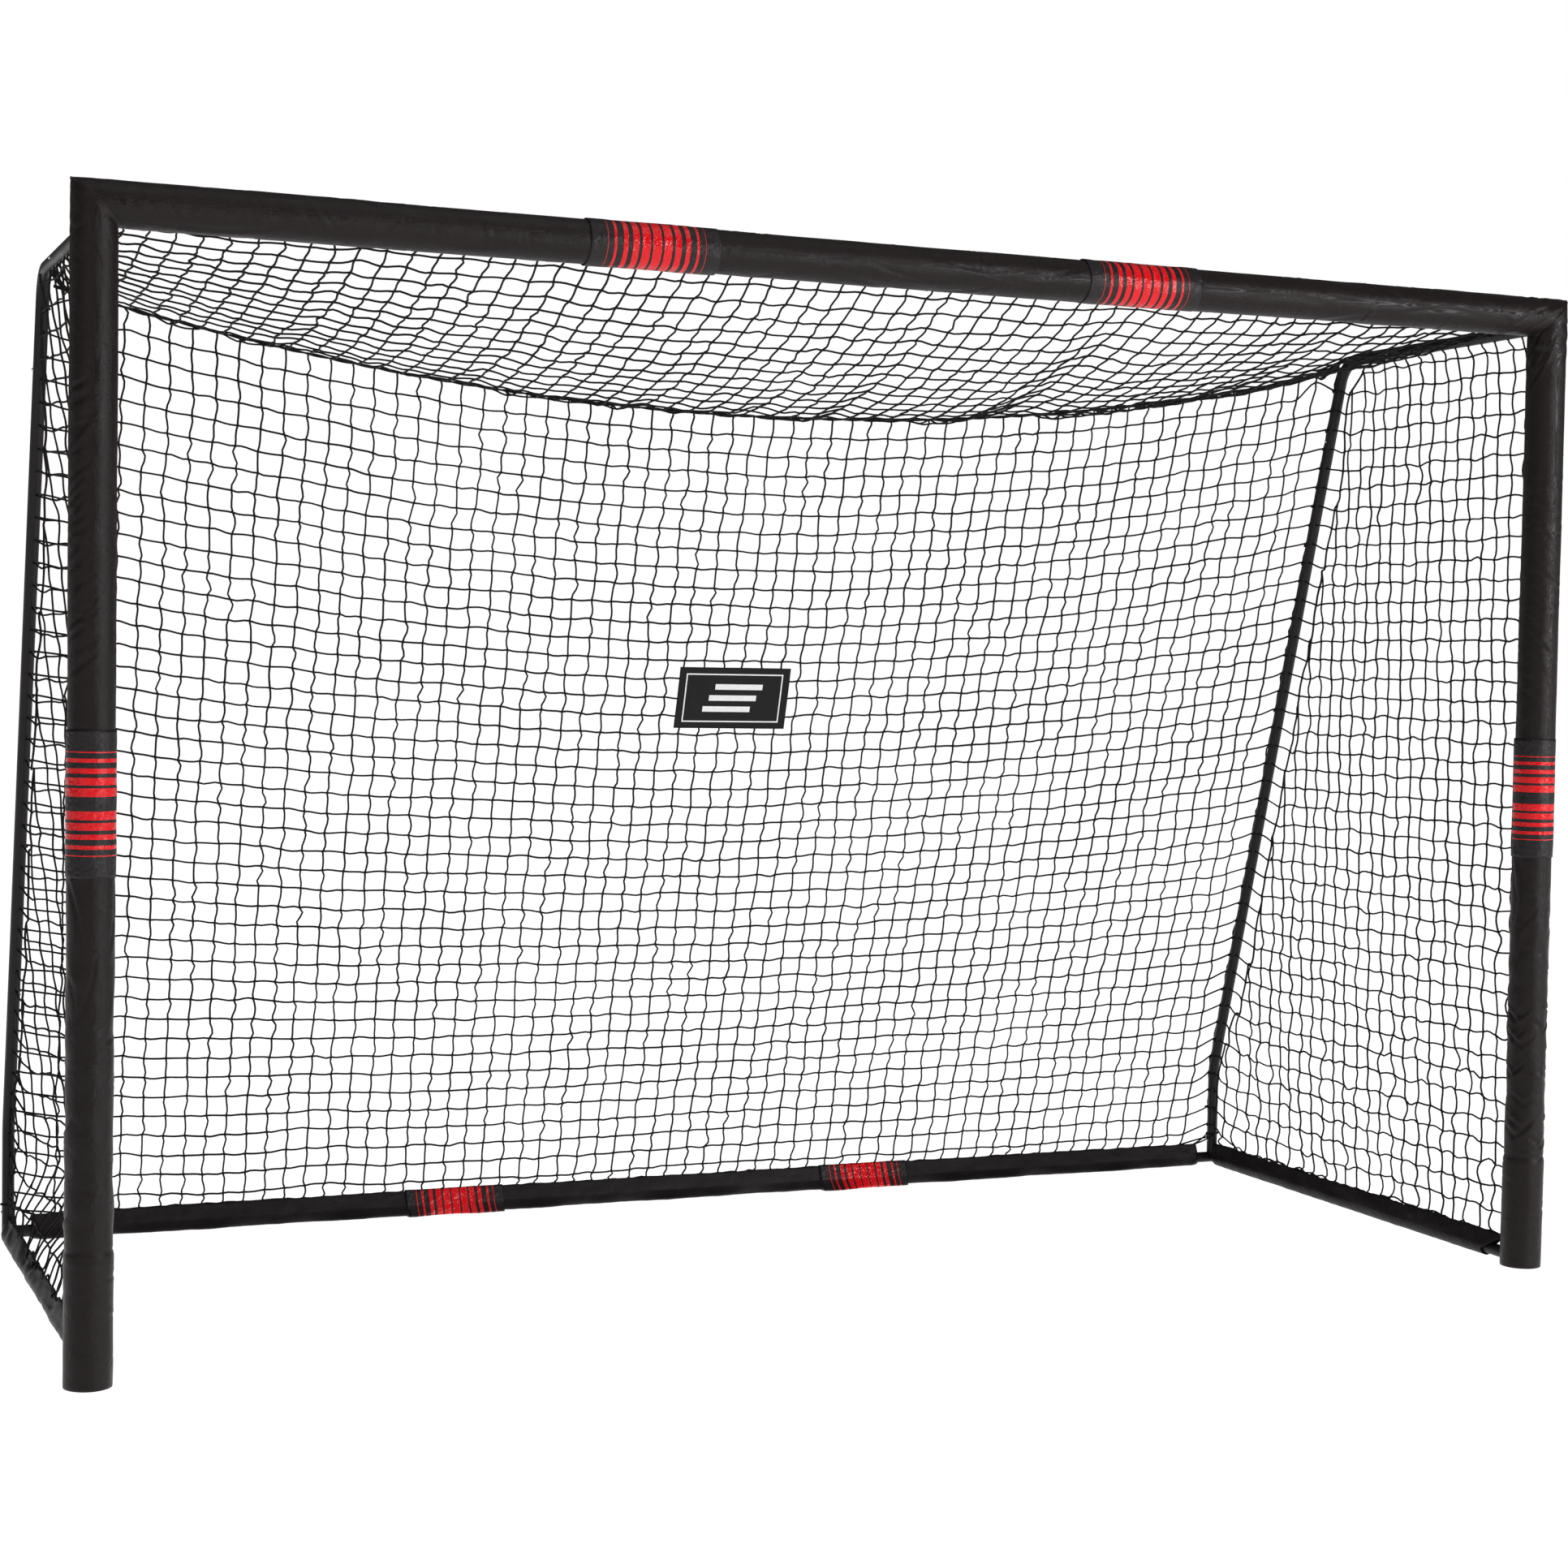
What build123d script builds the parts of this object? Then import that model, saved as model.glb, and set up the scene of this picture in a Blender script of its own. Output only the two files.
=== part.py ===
"""Knock-down soccer goal: padded steel front frame, bare steel rear frame, net and ground bars.

X runs along the crossbar, the mouth faces -Y and Z is up. The origin is on the floor, below the
middle of the goal's box. Millimetres.
"""
from build123d import *
import os

# Driving dimensions of the whole goal
WIDTH = 3000.0  # over the padded posts
HEIGHT = 2000.0  # over the padded crossbar
DEPTH = 1199.0  # post centre to rear ground tube centre
TOP_DEPTH = 706.0  # post centre to the top bend's corner
SIDE_X = 1450.0  # plane of each side frame
SIDE_TOP_Z = 1940.0  # centre of the top side bars
KINK_Z = 240.0  # where the rear stay turns upright
GROUND_Z = 19.0  # centre of the ground tubes

# Tubes: radius outside and inside, and of the swaged end that plugs into the next tube
POST_OUT, POST_IN, POST_PLUG_OUT, POST_PLUG_IN = 19.0, 17.8, 17.7, 16.5
REAR_OUT, REAR_IN, REAR_PLUG_OUT, REAR_PLUG_IN = 12.5, 11.5, 11.3, 10.3
PLUG_LENGTH = 60.0
COLLAR = 4.0  # step where a tube is swaged down
CORNER_LEG = 160.0
CORNER_BEND = 57.0
TOP_BEND = 70.0
KINK_BEND = 120.0
FOOT_FLANGE = 4.0

# Padding: foam tube and coated fabric cover, with hook-and-loop bands over the joints
PAD_R = 40.0
COVER_WALL = 1.2
FOAM_OUT, FOAM_IN = 38.5, 19.3
FOAM_BEND_CLEAR = 19.8  # foam cut away round the corner connector's bend
PAD_GAP = 0.4
BAND_WALL = 1.3
BAND_GAP = 0.2
BAND_LENGTH = 244.0
BAND_TAB_DEGREES = 46.0
JOINT_X = 495.0  # crossbar and rear ground bar joints, either side of the middle
JOINT_Z = 975.0  # joint half-way up each post
TUBE_SLOT_R = 13.5  # hole in the padding round a rear tube

# Ground bar sleeves: a drop-shaped fabric tunnel with the net's hem along its top
SLEEVE_R, SLEEVE_TIP_R, SLEEVE_TIP_Z = 17.0, 3.0, 51.0
SLEEVE_WALL = 1.0
REAR_SLEEVE_HALF = 1402.0
SIDE_SLEEVE_FRONT = 98.0  # from the post centre
SIDE_SLEEVE_REAR = 16.0  # from the rear tube's centre
GROUND_BAND_LENGTH = 222.0

# Spring snap-buttons of the rear frame
BUTTON_R = 3.0
BUTTON_CLEARANCE = 0.05
BUTTON_FLANGE_R = 4.4
BUTTON_BASE, BUTTON_SHOULDER, BUTTON_CROWN = 7.6, 8.8, 12.4
TOP_BUTTON_DEPTH = 529.0  # from the post centre, on the top side bar
STAY_BUTTON_DROP = 188.0  # down the stay from the top bend's corner
LEG_BUTTON_Z = 61.0
PLUG_SHOULDER = 30.0  # from a button to the end of the outer tube, at the top bend
SPRING_WIDTH, SPRING_THICK = 7.0, 0.8

# Net and what is sewn to it
NET_THICK = 1.0
NET_SAG = 173.0
NET_HALF = 1430.0
HEAD_CORD_Z = 1915.0
HEAD_CORD_R = 3.0
HEAD_CORD_SETBACK = 18.0
NET_BOTTOM_Z = 57.0
NET_TOP_RISE = 32.0  # front edge of the top net above the head cord's ends
BEND_CUT = 30.0  # corner taken off each side net inside the top bend
PATCH_WIDTH, PATCH_HEIGHT, PATCH_THICK = 256.0, 136.0, 1.5
PATCH_X, PATCH_Z = 28.0, 1150.0
PATCH_GAP = 1.5

# Worked out from the above
POST_X = WIDTH / 2 - PAD_R
BAR_Z = HEIGHT - PAD_R
BAND_OUT = PAD_R + BAND_GAP + BAND_WALL
GROUND_BAND_R = GROUND_Z
FRONT_Y = (BAND_OUT - DEPTH - GROUND_BAND_R) / 2  # centre of the posts
REAR_Y = FRONT_Y + DEPTH
TOP_CORNER = Vector(0, FRONT_Y + TOP_DEPTH, SIDE_TOP_Z)
KINK = Vector(0, REAR_Y, KINK_Z)
STAY_RUN = (KINK - TOP_CORNER).normalized()
STAY_FOOT_Z = GROUND_Z + REAR_OUT + 1.5
SIDES = {"left": -1, "right": 1}

os.makedirs("parts", exist_ok=True)


def save(shape, node):
    shape.label = node
    export_step(shape, f"parts/{node}.step")


def rod(start, end, radius):
    start, end = Vector(start), Vector(end)
    along = end - start
    upright = Cylinder(radius, along.length, align=(Align.CENTER, Align.CENTER, Align.MIN))
    return Plane(origin=start, z_dir=along) * upright


def pipe(start, end, outer, inner):
    return rod(start, end, outer) - rod(start, end, inner)


def bent_rod(points, bend_radius, radius):
    path = FilletPolyline(*points, radius=bend_radius)
    section = Plane(origin=path @ 0, z_dir=path % 0) * Circle(radius)
    return sweep(section, path=path)


def swaged_end(end, way, outer, plug_out, plug_in):
    """Collar and reduced plug that stand on a tube's end and point along way."""
    end = Vector(end)
    way = Vector(way).normalized()
    collar = pipe(end - way * COLLAR, end, outer, plug_in)
    plug = pipe(end - way * COLLAR, end + way * PLUG_LENGTH, plug_out, plug_in)
    return collar + plug


def post_swage(end, way):
    return swaged_end(end, way, POST_OUT, POST_PLUG_OUT, POST_PLUG_IN)


def rear_swage(end, way):
    return swaged_end(end, way, REAR_OUT, REAR_PLUG_OUT, REAR_PLUG_IN)


def at_side(point, side):
    return Vector(side * SIDE_X, point.Y, point.Z)


def button_places(side):
    """Name, middle and tube direction of each snap-button on one side frame."""
    return [
        ("top", Vector(side * SIDE_X, FRONT_Y + TOP_BUTTON_DEPTH, SIDE_TOP_Z), Vector(0, -1, 0)),
        ("stay", at_side(TOP_CORNER + STAY_RUN * STAY_BUTTON_DROP, side), STAY_RUN),
        ("leg", Vector(side * SIDE_X, REAR_Y, LEG_BUTTON_Z), Vector(0, 0, 1)),
    ]


def button_holes(side):
    """Cutters for the button holes, all of which face -X."""
    holes = [rod(at, at - Vector(2 * REAR_OUT, 0, 0), BUTTON_R + BUTTON_CLEARANCE)
             for _, at, _ in button_places(side)]
    return holes[0] + holes[1] + holes[2]


# ---- steel frame ----

def corner_path(side):
    x = side * POST_X
    return [(x, FRONT_Y, BAR_Z - CORNER_LEG), (x, FRONT_Y, BAR_Z), (x - side * CORNER_LEG, FRONT_Y, BAR_Z)]


def side_stub(side, z):
    """Reduced stub behind the front frame that a rear-frame tube slides over."""
    root = Vector(side * SIDE_X, FRONT_Y + POST_IN - 3, z)
    tip = Vector(side * SIDE_X, FRONT_Y + POST_OUT + 2 * PLUG_LENGTH, z)
    bore_root = Vector(side * SIDE_X, FRONT_Y + POST_OUT + 1, z)
    return rod(root, tip, REAR_PLUG_OUT), rod(bore_root, tip, REAR_PLUG_IN)


def corner_connector(side):
    path = corner_path(side)
    stub, stub_bore = side_stub(side, SIDE_TOP_Z)
    shell = bent_rod(path, CORNER_BEND, POST_OUT) + stub
    shell = shell - bent_rod(path, CORNER_BEND, POST_IN) - stub_bore
    shell += post_swage(path[0], (0, 0, -1))
    return shell + post_swage(path[2], (-side, 0, 0))


def post_lower_tube(side):
    foot, top = (side * POST_X, FRONT_Y, FOOT_FLANGE), (side * POST_X, FRONT_Y, JOINT_Z)
    stub, stub_bore = side_stub(side, GROUND_Z)
    return rod(foot, top, POST_OUT) + stub - rod(foot, top, POST_IN) - stub_bore


def post_upper_tube(side):
    low, top = (side * POST_X, FRONT_Y, JOINT_Z), (side * POST_X, FRONT_Y, BAR_Z - CORNER_LEG)
    return pipe(low, top, POST_OUT, POST_IN) + post_swage(low, (0, 0, -1))


def crossbar_tube(start_x, end_x, swaged):
    start, end = (start_x, FRONT_Y, BAR_Z), (end_x, FRONT_Y, BAR_Z)
    tube = pipe(start, end, POST_OUT, POST_IN)
    if swaged:
        tube += post_swage(start, (-1, 0, 0))
        tube += post_swage(end, (1, 0, 0))
    return tube


def side_top_bar(side):
    start = Vector(side * SIDE_X, FRONT_Y + POST_OUT + 3, SIDE_TOP_Z)
    end = Vector(side * SIDE_X, FRONT_Y + TOP_BUTTON_DEPTH + PLUG_SHOULDER, SIDE_TOP_Z)
    return pipe(start, end, REAR_OUT, REAR_IN) - button_holes(side)


def rear_elbow(side):
    front = Vector(side * SIDE_X, FRONT_Y + TOP_BUTTON_DEPTH + PLUG_SHOULDER, SIDE_TOP_Z)
    low = at_side(TOP_CORNER + STAY_RUN * (STAY_BUTTON_DROP - PLUG_SHOULDER), side)
    path = [front, at_side(TOP_CORNER, side), low]
    tube = bent_rod(path, TOP_BEND, REAR_OUT) - bent_rod(path, TOP_BEND, REAR_IN)
    tube += rear_swage(front, (0, -1, 0))
    tube += rear_swage(low, STAY_RUN)
    return tube - button_holes(side)


def rear_stay(side):
    top = at_side(TOP_CORNER + STAY_RUN * (STAY_BUTTON_DROP - PLUG_SHOULDER), side)
    foot = Vector(side * SIDE_X, REAR_Y, STAY_FOOT_Z)
    path = [top, at_side(KINK, side), foot]
    tube = bent_rod(path, KINK_BEND, REAR_OUT) - bent_rod(path, KINK_BEND, REAR_IN)
    return tube - button_holes(side)


def ground_corner(side):
    """Three-way corner on the floor: forward, inward and a stub up into the stay."""
    middle = Vector(side * SIDE_X, REAR_Y, GROUND_Z)
    leg = 30.0
    forward, inward, up = Vector(0, -1, 0), Vector(-side, 0, 0), Vector(0, 0, 1)
    ends = [(middle + forward * leg, forward), (middle + inward * leg, inward),
            (Vector(middle.X, middle.Y, STAY_FOOT_Z), up)]
    shell = Pos(middle) * Sphere(REAR_OUT)
    for end, _ in ends:
        shell += rod(middle, end, REAR_OUT)
    for end, way in ends:
        shell += rod(middle, end + way * PLUG_LENGTH, REAR_PLUG_OUT)
    for end, way in ends:
        shell -= rod(middle, end + way * PLUG_LENGTH, REAR_PLUG_IN)
    return shell - button_holes(side)


def side_ground_tube(side):
    start = Vector(side * SIDE_X, FRONT_Y + POST_OUT + 3, GROUND_Z)
    return pipe(start, Vector(side * SIDE_X, REAR_Y - 30, GROUND_Z), REAR_OUT, REAR_IN)


def rear_ground_tube(start_x, end_x, swaged):
    start, end = (start_x, REAR_Y, GROUND_Z), (end_x, REAR_Y, GROUND_Z)
    tube = pipe(start, end, REAR_OUT, REAR_IN)
    if swaged:
        tube += rear_swage(start, (-1, 0, 0))
        tube += rear_swage(end, (1, 0, 0))
    return tube


def foot_plug(side):
    x = side * POST_X
    flange = rod((x, FRONT_Y, 0), (x, FRONT_Y, FOOT_FLANGE), POST_OUT)
    return flange + rod((x, FRONT_Y, 0), (x, FRONT_Y, FOOT_FLANGE + 3), POST_IN - 0.1)


# ---- snap-buttons ----

def snap_button(at):
    """Round button with a retaining flange and a domed crown, pointing along -X."""
    def out(distance):
        return at - Vector(distance, 0, 0)

    stem = rod(out(BUTTON_BASE), out(BUTTON_CROWN), BUTTON_R)
    flange = rod(out(BUTTON_BASE), out(BUTTON_SHOULDER), BUTTON_FLANGE_R)
    return stem + flange + Pos(out(BUTTON_CROWN)) * Sphere(BUTTON_R)


def snap_spring(at, along):
    """V-shaped spring strip inside the tubes: one leg under the button, one on the far wall."""
    near = BUTTON_BASE - SPRING_THICK / 2
    far = -(REAR_PLUG_IN - 1.1)
    points = [(-8, near), (8, near), (42, -1), (8, far), (-8, far)]
    strip = trace(FilletPolyline(*points, radius=3), line_width=SPRING_THICK)
    bent = extrude(strip, SPRING_WIDTH / 2, both=True)
    outward = Vector(-1, 0, 0)
    return Plane(origin=at, x_dir=along, z_dir=along.cross(outward)) * bent


# ---- padding ----

def beyond_mitre(side, towards_bar, gap):
    """The half-space on one side of the corner's 45 degree mitre."""
    normal = Vector(-side, 0, 1) if towards_bar else Vector(side, 0, -1)
    corner = Vector(side * POST_X, FRONT_Y, BAR_Z) - normal.normalized() * gap
    block = Box(400, 400, 400, align=(Align.CENTER, Align.CENTER, Align.MIN))
    return Plane(origin=corner, z_dir=normal) * block


def rear_tube_openings(side):
    """Holes in the padding for the top side bar, and a slot at the foot for the ground tube."""
    top = Vector(side * SIDE_X, FRONT_Y, SIDE_TOP_Z)
    low = Vector(side * SIDE_X, FRONT_Y, GROUND_Z)
    back = Vector(0, 2 * PAD_R, 0)
    slot = Box(2 * TUBE_SLOT_R, 2 * PAD_R, GROUND_Z + 1, align=(Align.CENTER, Align.MIN, Align.MAX))
    return rod(top, top + back, TUBE_SLOT_R) + rod(low, low + back, TUBE_SLOT_R) + Pos(low) * slot


def corner_clearance(side):
    return bent_rod(corner_path(side), CORNER_BEND, FOAM_BEND_CLEAR)


def post_pad(side, lower, outer, inner, gap):
    """One length of foam or cover on a post, cut at the mitre and for the rear tubes."""
    x = side * POST_X
    low, top = (1.0, JOINT_Z - gap) if lower else (JOINT_Z + gap, BAR_Z + PAD_R)
    shape = pipe((x, FRONT_Y, low), (x, FRONT_Y, top), outer, inner) - rear_tube_openings(side)
    if lower:
        return shape
    return shape - beyond_mitre(side, True, gap)


def crossbar_pad(section, outer, inner, gap):
    """One length of foam or cover on the crossbar: -1 left, 0 middle, 1 right."""
    if section == 0:
        return pipe((-JOINT_X + gap, FRONT_Y, BAR_Z), (JOINT_X - gap, FRONT_Y, BAR_Z), outer, inner)
    start = section * (JOINT_X + gap)
    shape = pipe((start, FRONT_Y, BAR_Z), (section * WIDTH / 2, FRONT_Y, BAR_Z), outer, inner)
    return shape - rear_tube_openings(section) - beyond_mitre(section, False, gap)


def band(middle, along):
    """Hook-and-loop wrap with its overlapping tab on the rear side."""
    middle, along = Vector(middle), Vector(along)
    start, end = middle - along * BAND_LENGTH / 2, middle + along * BAND_LENGTH / 2
    wrap = pipe(start, end, BAND_OUT, PAD_R + BAND_GAP)
    tab = Cylinder(BAND_OUT + BAND_WALL, BAND_LENGTH, arc_size=BAND_TAB_DEGREES)
    tab -= Cylinder(BAND_OUT - 0.1, BAND_LENGTH + 1)
    return wrap + Plane(origin=middle, x_dir=(0, 1, 0), z_dir=along) * tab


# ---- ground bar sleeves ----

def drop_section(grow):
    """Cross-section of the tunnel round a ground tube, in a plane whose origin is the tube's centre."""
    low = Circle(SLEEVE_R + grow)
    tip = Pos(0, SLEEVE_TIP_Z - GROUND_Z) * Circle(SLEEVE_TIP_R + grow)
    return make_hull(low.edges() + tip.edges())


def tunnel(start, end, outer_grow, inner_grow):
    """Drop-shaped fabric tube from start to end, with its narrow top upwards."""
    start, end = Vector(start), Vector(end)
    along = (end - start).normalized()
    plane = Plane(origin=start, x_dir=Vector(0, 0, 1).cross(along), z_dir=along)
    length = (end - start).length
    wall = drop_section(outer_grow) - drop_section(inner_grow)
    return extrude(plane * wall, length)


def ground_band(middle_x):
    half = GROUND_BAND_LENGTH / 2
    thick = GROUND_BAND_R - SLEEVE_R
    return tunnel((middle_x - half, REAR_Y, GROUND_Z), (middle_x + half, REAR_Y, GROUND_Z), thick, BAND_GAP)


# ---- net ----

def head_cord_arc(half, drop, y):
    """The net's sagging top-rear edge between the two bends."""
    return ThreePointArc((-half, y, HEAD_CORD_Z - drop), (0, y, HEAD_CORD_Z - NET_SAG - drop),
                         (half, y, HEAD_CORD_Z - drop))


HEAD_CORD_Y = TOP_CORNER.Y + HEAD_CORD_SETBACK


def net_head_cord():
    path = head_cord_arc(NET_HALF, 0, HEAD_CORD_Y)
    return sweep(Plane(origin=path @ 0, z_dir=path % 0) * Circle(HEAD_CORD_R), path=path)


def ruled_sheet(half_edge, edge_y, edge_z, cord_y, thick_z):
    """Thin sheet from a straight edge to the sagging head cord; thick_z is its upright thickness."""
    edge = Polyline((-half_edge, edge_y, edge_z), (half_edge, edge_y, edge_z),
                    (half_edge, edge_y, edge_z + thick_z), (-half_edge, edge_y, edge_z + thick_z), close=True)
    half = NET_HALF - 4
    low, high = head_cord_arc(half, thick_z, cord_y), head_cord_arc(half, 0, cord_y)
    sides = [Line(low @ 1, high @ 1), Line(high @ 0, low @ 0)]
    cord = Wire([*low.edges(), *sides[0].edges(), *high.edges(), *sides[1].edges()])
    return Solid.make_loft([edge.wire(), cord], ruled=True)


def net_back():
    """Steep sheet from the rear sleeve's hem up to the head cord."""
    rise = HEAD_CORD_Z - NET_BOTTOM_Z
    thick_z = NET_THICK * rise / (REAR_Y - HEAD_CORD_Y)
    return ruled_sheet(REAR_SLEEVE_HALF, REAR_Y, NET_BOTTOM_Z, HEAD_CORD_Y + HEAD_CORD_R + 1, thick_z)


def net_top():
    """Nearly level sheet from the crossbar back to the head cord."""
    front_y = FRONT_Y + BAND_OUT + 3
    front_z = HEAD_CORD_Z + NET_TOP_RISE
    return ruled_sheet(NET_HALF - 4, front_y, front_z, HEAD_CORD_Y - HEAD_CORD_R - 1, NET_THICK)


def net_side(side):
    """Flat sheet inside one side frame, just clear of its tubes."""
    clear = REAR_OUT + 4
    front, low, top = FRONT_Y + PAD_R + 6, NET_BOTTOM_Z, SIDE_TOP_Z - clear
    bend = TOP_CORNER + Vector(0, -clear - 4, -clear)
    below_bend = bend + STAY_RUN * BEND_CUT
    outline = Polyline((front, low), (REAR_Y - clear, low), (REAR_Y - clear, KINK_Z),
                       (below_bend.Y, below_bend.Z), (bend.Y - BEND_CUT, top), (front, top), close=True)
    upright = Plane(origin=(side * SIDE_X - NET_THICK / 2, 0, 0), x_dir=(0, 1, 0), z_dir=(1, 0, 0))
    return extrude(upright * make_face(outline), NET_THICK)


def net_patch():
    """Plain badge sewn to the front of the back net, near the middle."""
    foot = Vector(0, REAR_Y, NET_BOTTOM_Z)
    rise = Vector(0, HEAD_CORD_Y + HEAD_CORD_R + 1, HEAD_CORD_Z - NET_SAG) - foot
    up_net = rise.length * (PATCH_Z - NET_BOTTOM_Z) / rise.Z
    plane = Plane(origin=foot, x_dir=(1, 0, 0), z_dir=Vector(1, 0, 0).cross(rise))
    plate = Box(PATCH_WIDTH, PATCH_HEIGHT, PATCH_THICK, align=(Align.CENTER, Align.CENTER, Align.MIN))
    return plane * Pos(PATCH_X, up_net, PATCH_GAP) * plate


# ---- everything, one file for each node ----

buttons_and_springs = []
for name, side in SIDES.items():
    save(corner_connector(side), f"corner_connector_{name}")
    save(post_lower_tube(side), f"post_lower_tube_{name}")
    save(post_upper_tube(side), f"post_upper_tube_{name}")
    save(crossbar_tube(side * (POST_X - CORNER_LEG), side * JOINT_X, False), f"crossbar_tube_{name}")
    save(side_top_bar(side), f"side_top_bar_{name}")
    save(rear_elbow(side), f"rear_elbow_{name}")
    save(rear_stay(side), f"rear_stay_{name}")
    save(ground_corner(side), f"ground_corner_{name}")
    save(side_ground_tube(side), f"side_ground_tube_{name}")
    save(rear_ground_tube(side * JOINT_X, side * (SIDE_X - 30), False), f"rear_ground_tube_{name}")
    save(post_pad(side, True, PAD_R, PAD_R - COVER_WALL, 0.3), f"post_cover_lower_{name}")
    save(post_pad(side, False, PAD_R, PAD_R - COVER_WALL, 0.3), f"post_cover_upper_{name}")
    save(crossbar_pad(side, PAD_R, PAD_R - COVER_WALL, 0.3), f"crossbar_cover_{name}")
    foam = [post_pad(side, lower, FOAM_OUT, FOAM_IN, 0.5) - corner_clearance(side) for lower in (True, False)]
    save(Compound(children=foam), f"post_foam_{name}")
    save(band((side * POST_X, FRONT_Y, JOINT_Z), (0, 0, 1)), f"post_band_{name}")
    save(band((side * JOINT_X, FRONT_Y, BAR_Z), (1, 0, 0)), f"crossbar_band_{name}")
    save(ground_band(side * JOINT_X), f"ground_band_{name}")
    sleeve_front = (side * SIDE_X, FRONT_Y + SIDE_SLEEVE_FRONT, GROUND_Z)
    sleeve_rear = (side * SIDE_X, REAR_Y - SLEEVE_R - SIDE_SLEEVE_REAR, GROUND_Z)
    save(tunnel(sleeve_front, sleeve_rear, 0, -SLEEVE_WALL), f"side_ground_sleeve_{name}")
    save(net_side(side), f"net_{name}")
    for place, at, along in button_places(side):
        save(snap_button(at), f"snap_button_{place}_{name}")
        buttons_and_springs.append(snap_spring(at, along))

save(crossbar_tube(-JOINT_X, JOINT_X, True), "crossbar_tube_middle")
save(rear_ground_tube(-JOINT_X, JOINT_X, True), "rear_ground_tube_middle")
save(crossbar_pad(0, PAD_R, PAD_R - COVER_WALL, 0.3), "crossbar_cover_middle")
bar_foam = [crossbar_pad(section, FOAM_OUT, FOAM_IN, 0.5) for section in (-1, 0, 1)]
bar_foam = [bar_foam[0] - corner_clearance(-1), bar_foam[1], bar_foam[2] - corner_clearance(1)]
save(Compound(children=bar_foam), "crossbar_foam")
save(Compound(children=[foot_plug(side) for side in SIDES.values()]), "post_foot_plugs")
save(Compound(children=buttons_and_springs), "snap_springs")
save(tunnel((-REAR_SLEEVE_HALF, REAR_Y, GROUND_Z), (REAR_SLEEVE_HALF, REAR_Y, GROUND_Z), 0, -SLEEVE_WALL),
     "rear_ground_sleeve")
save(net_back(), "net_back")
save(net_top(), "net_top")
save(net_head_cord(), "net_head_cord")
save(net_patch(), "net_patch")
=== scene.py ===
"""Looks of the knock-down soccer goal: padded sleeves, striped bands, net, ground sleeves and steel finishes.

X runs along the crossbar, the mouth faces -Y, Z is up, in metres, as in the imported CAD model.
"""

import math

import bpy
import numpy as np
from mathutils import Matrix, Vector


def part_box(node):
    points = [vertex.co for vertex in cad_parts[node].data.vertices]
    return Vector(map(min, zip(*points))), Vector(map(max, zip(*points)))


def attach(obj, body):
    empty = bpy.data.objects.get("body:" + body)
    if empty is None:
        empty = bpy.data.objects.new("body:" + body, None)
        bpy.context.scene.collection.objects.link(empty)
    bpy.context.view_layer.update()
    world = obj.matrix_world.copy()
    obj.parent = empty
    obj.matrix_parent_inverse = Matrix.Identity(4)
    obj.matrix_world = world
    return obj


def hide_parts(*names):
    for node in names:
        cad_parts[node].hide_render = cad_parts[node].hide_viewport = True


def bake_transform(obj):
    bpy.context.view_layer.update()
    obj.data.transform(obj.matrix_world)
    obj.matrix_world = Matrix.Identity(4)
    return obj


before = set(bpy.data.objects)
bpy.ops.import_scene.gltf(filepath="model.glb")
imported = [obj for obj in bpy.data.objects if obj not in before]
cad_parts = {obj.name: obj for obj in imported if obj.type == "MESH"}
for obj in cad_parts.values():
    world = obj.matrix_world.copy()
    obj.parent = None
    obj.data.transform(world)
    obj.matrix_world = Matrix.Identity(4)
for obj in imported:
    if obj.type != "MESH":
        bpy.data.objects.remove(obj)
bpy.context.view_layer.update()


# ---- places, read from the CAD nodes ----

def middle(node):
    low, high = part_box(node)
    return (low + high) / 2


def size(node):
    low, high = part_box(node)
    return high - low


SIDES = (("left", -1), ("right", 1))
POST_X = middle("post_cover_lower_right").x
PAD_R = size("post_cover_lower_right").x / 2
FRONT_Y = middle("crossbar_cover_middle").y
BAR_Z = middle("crossbar_cover_middle").z
JOINT_X = middle("crossbar_band_right").x
JOINT_Z = middle("post_band_right").z
BAND_HALF = size("crossbar_band_right").x / 2
SIDE_X = middle("side_top_bar_right").x
SIDE_TOP_Z = middle("side_top_bar_right").z
TUBE_R = size("side_top_bar_right").z / 2
REAR_Y = middle("rear_ground_tube_middle").y
GROUND_Z = middle("rear_ground_tube_middle").z
CORE_R = size("post_foot_plugs").y / 2
HEM_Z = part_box("rear_ground_sleeve")[1].z
SLEEVE_R = size("rear_ground_sleeve").y / 2
CORD_LOW, CORD_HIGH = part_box("net_head_cord")
HEAD_Y = middle("net_head_cord").y
BEND_Y = HEAD_Y - 0.018  # corner of the top bend
KINK_Z = 0.24  # corner where the stay turns upright
CELL = 0.045  # side of a mesh of the net
CORD_R = 0.00205
SHARP_EDGE = math.radians(35)
TURN = 2 * math.pi

rng = np.random.RandomState(20417)


# ---- mesh helpers ----

def clamp(values):
    return np.clip(values, 0, 1)


def new_object(name, points, faces, materials, face_materials=None):
    mesh = bpy.data.meshes.new(name)
    mesh.from_pydata([tuple(p) for p in np.asarray(points, float)], [], faces)
    for material in materials:
        mesh.materials.append(material)
    if face_materials is not None:
        mesh.polygons.foreach_set("material_index", np.asarray(face_materials, np.int32))
    mesh.polygons.foreach_set("use_smooth", np.full(len(mesh.polygons), True))
    mesh.update()
    obj = bpy.data.objects.new(name, mesh)
    bpy.context.scene.collection.objects.link(obj)
    return obj


def on_frame(obj, slot, *replaced):
    """Puts a piece on the frame body, in place of the named CAD nodes."""
    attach(obj, "frame")
    if replaced:
        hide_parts(*replaced)
    return obj


def lay(origin, *terms):
    """Points at an origin plus arrays of amounts along directions."""
    total = np.array(origin, float)
    for amount, direction in terms:
        total = total + amount[..., None] * np.array(direction, float)
    return total


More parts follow.
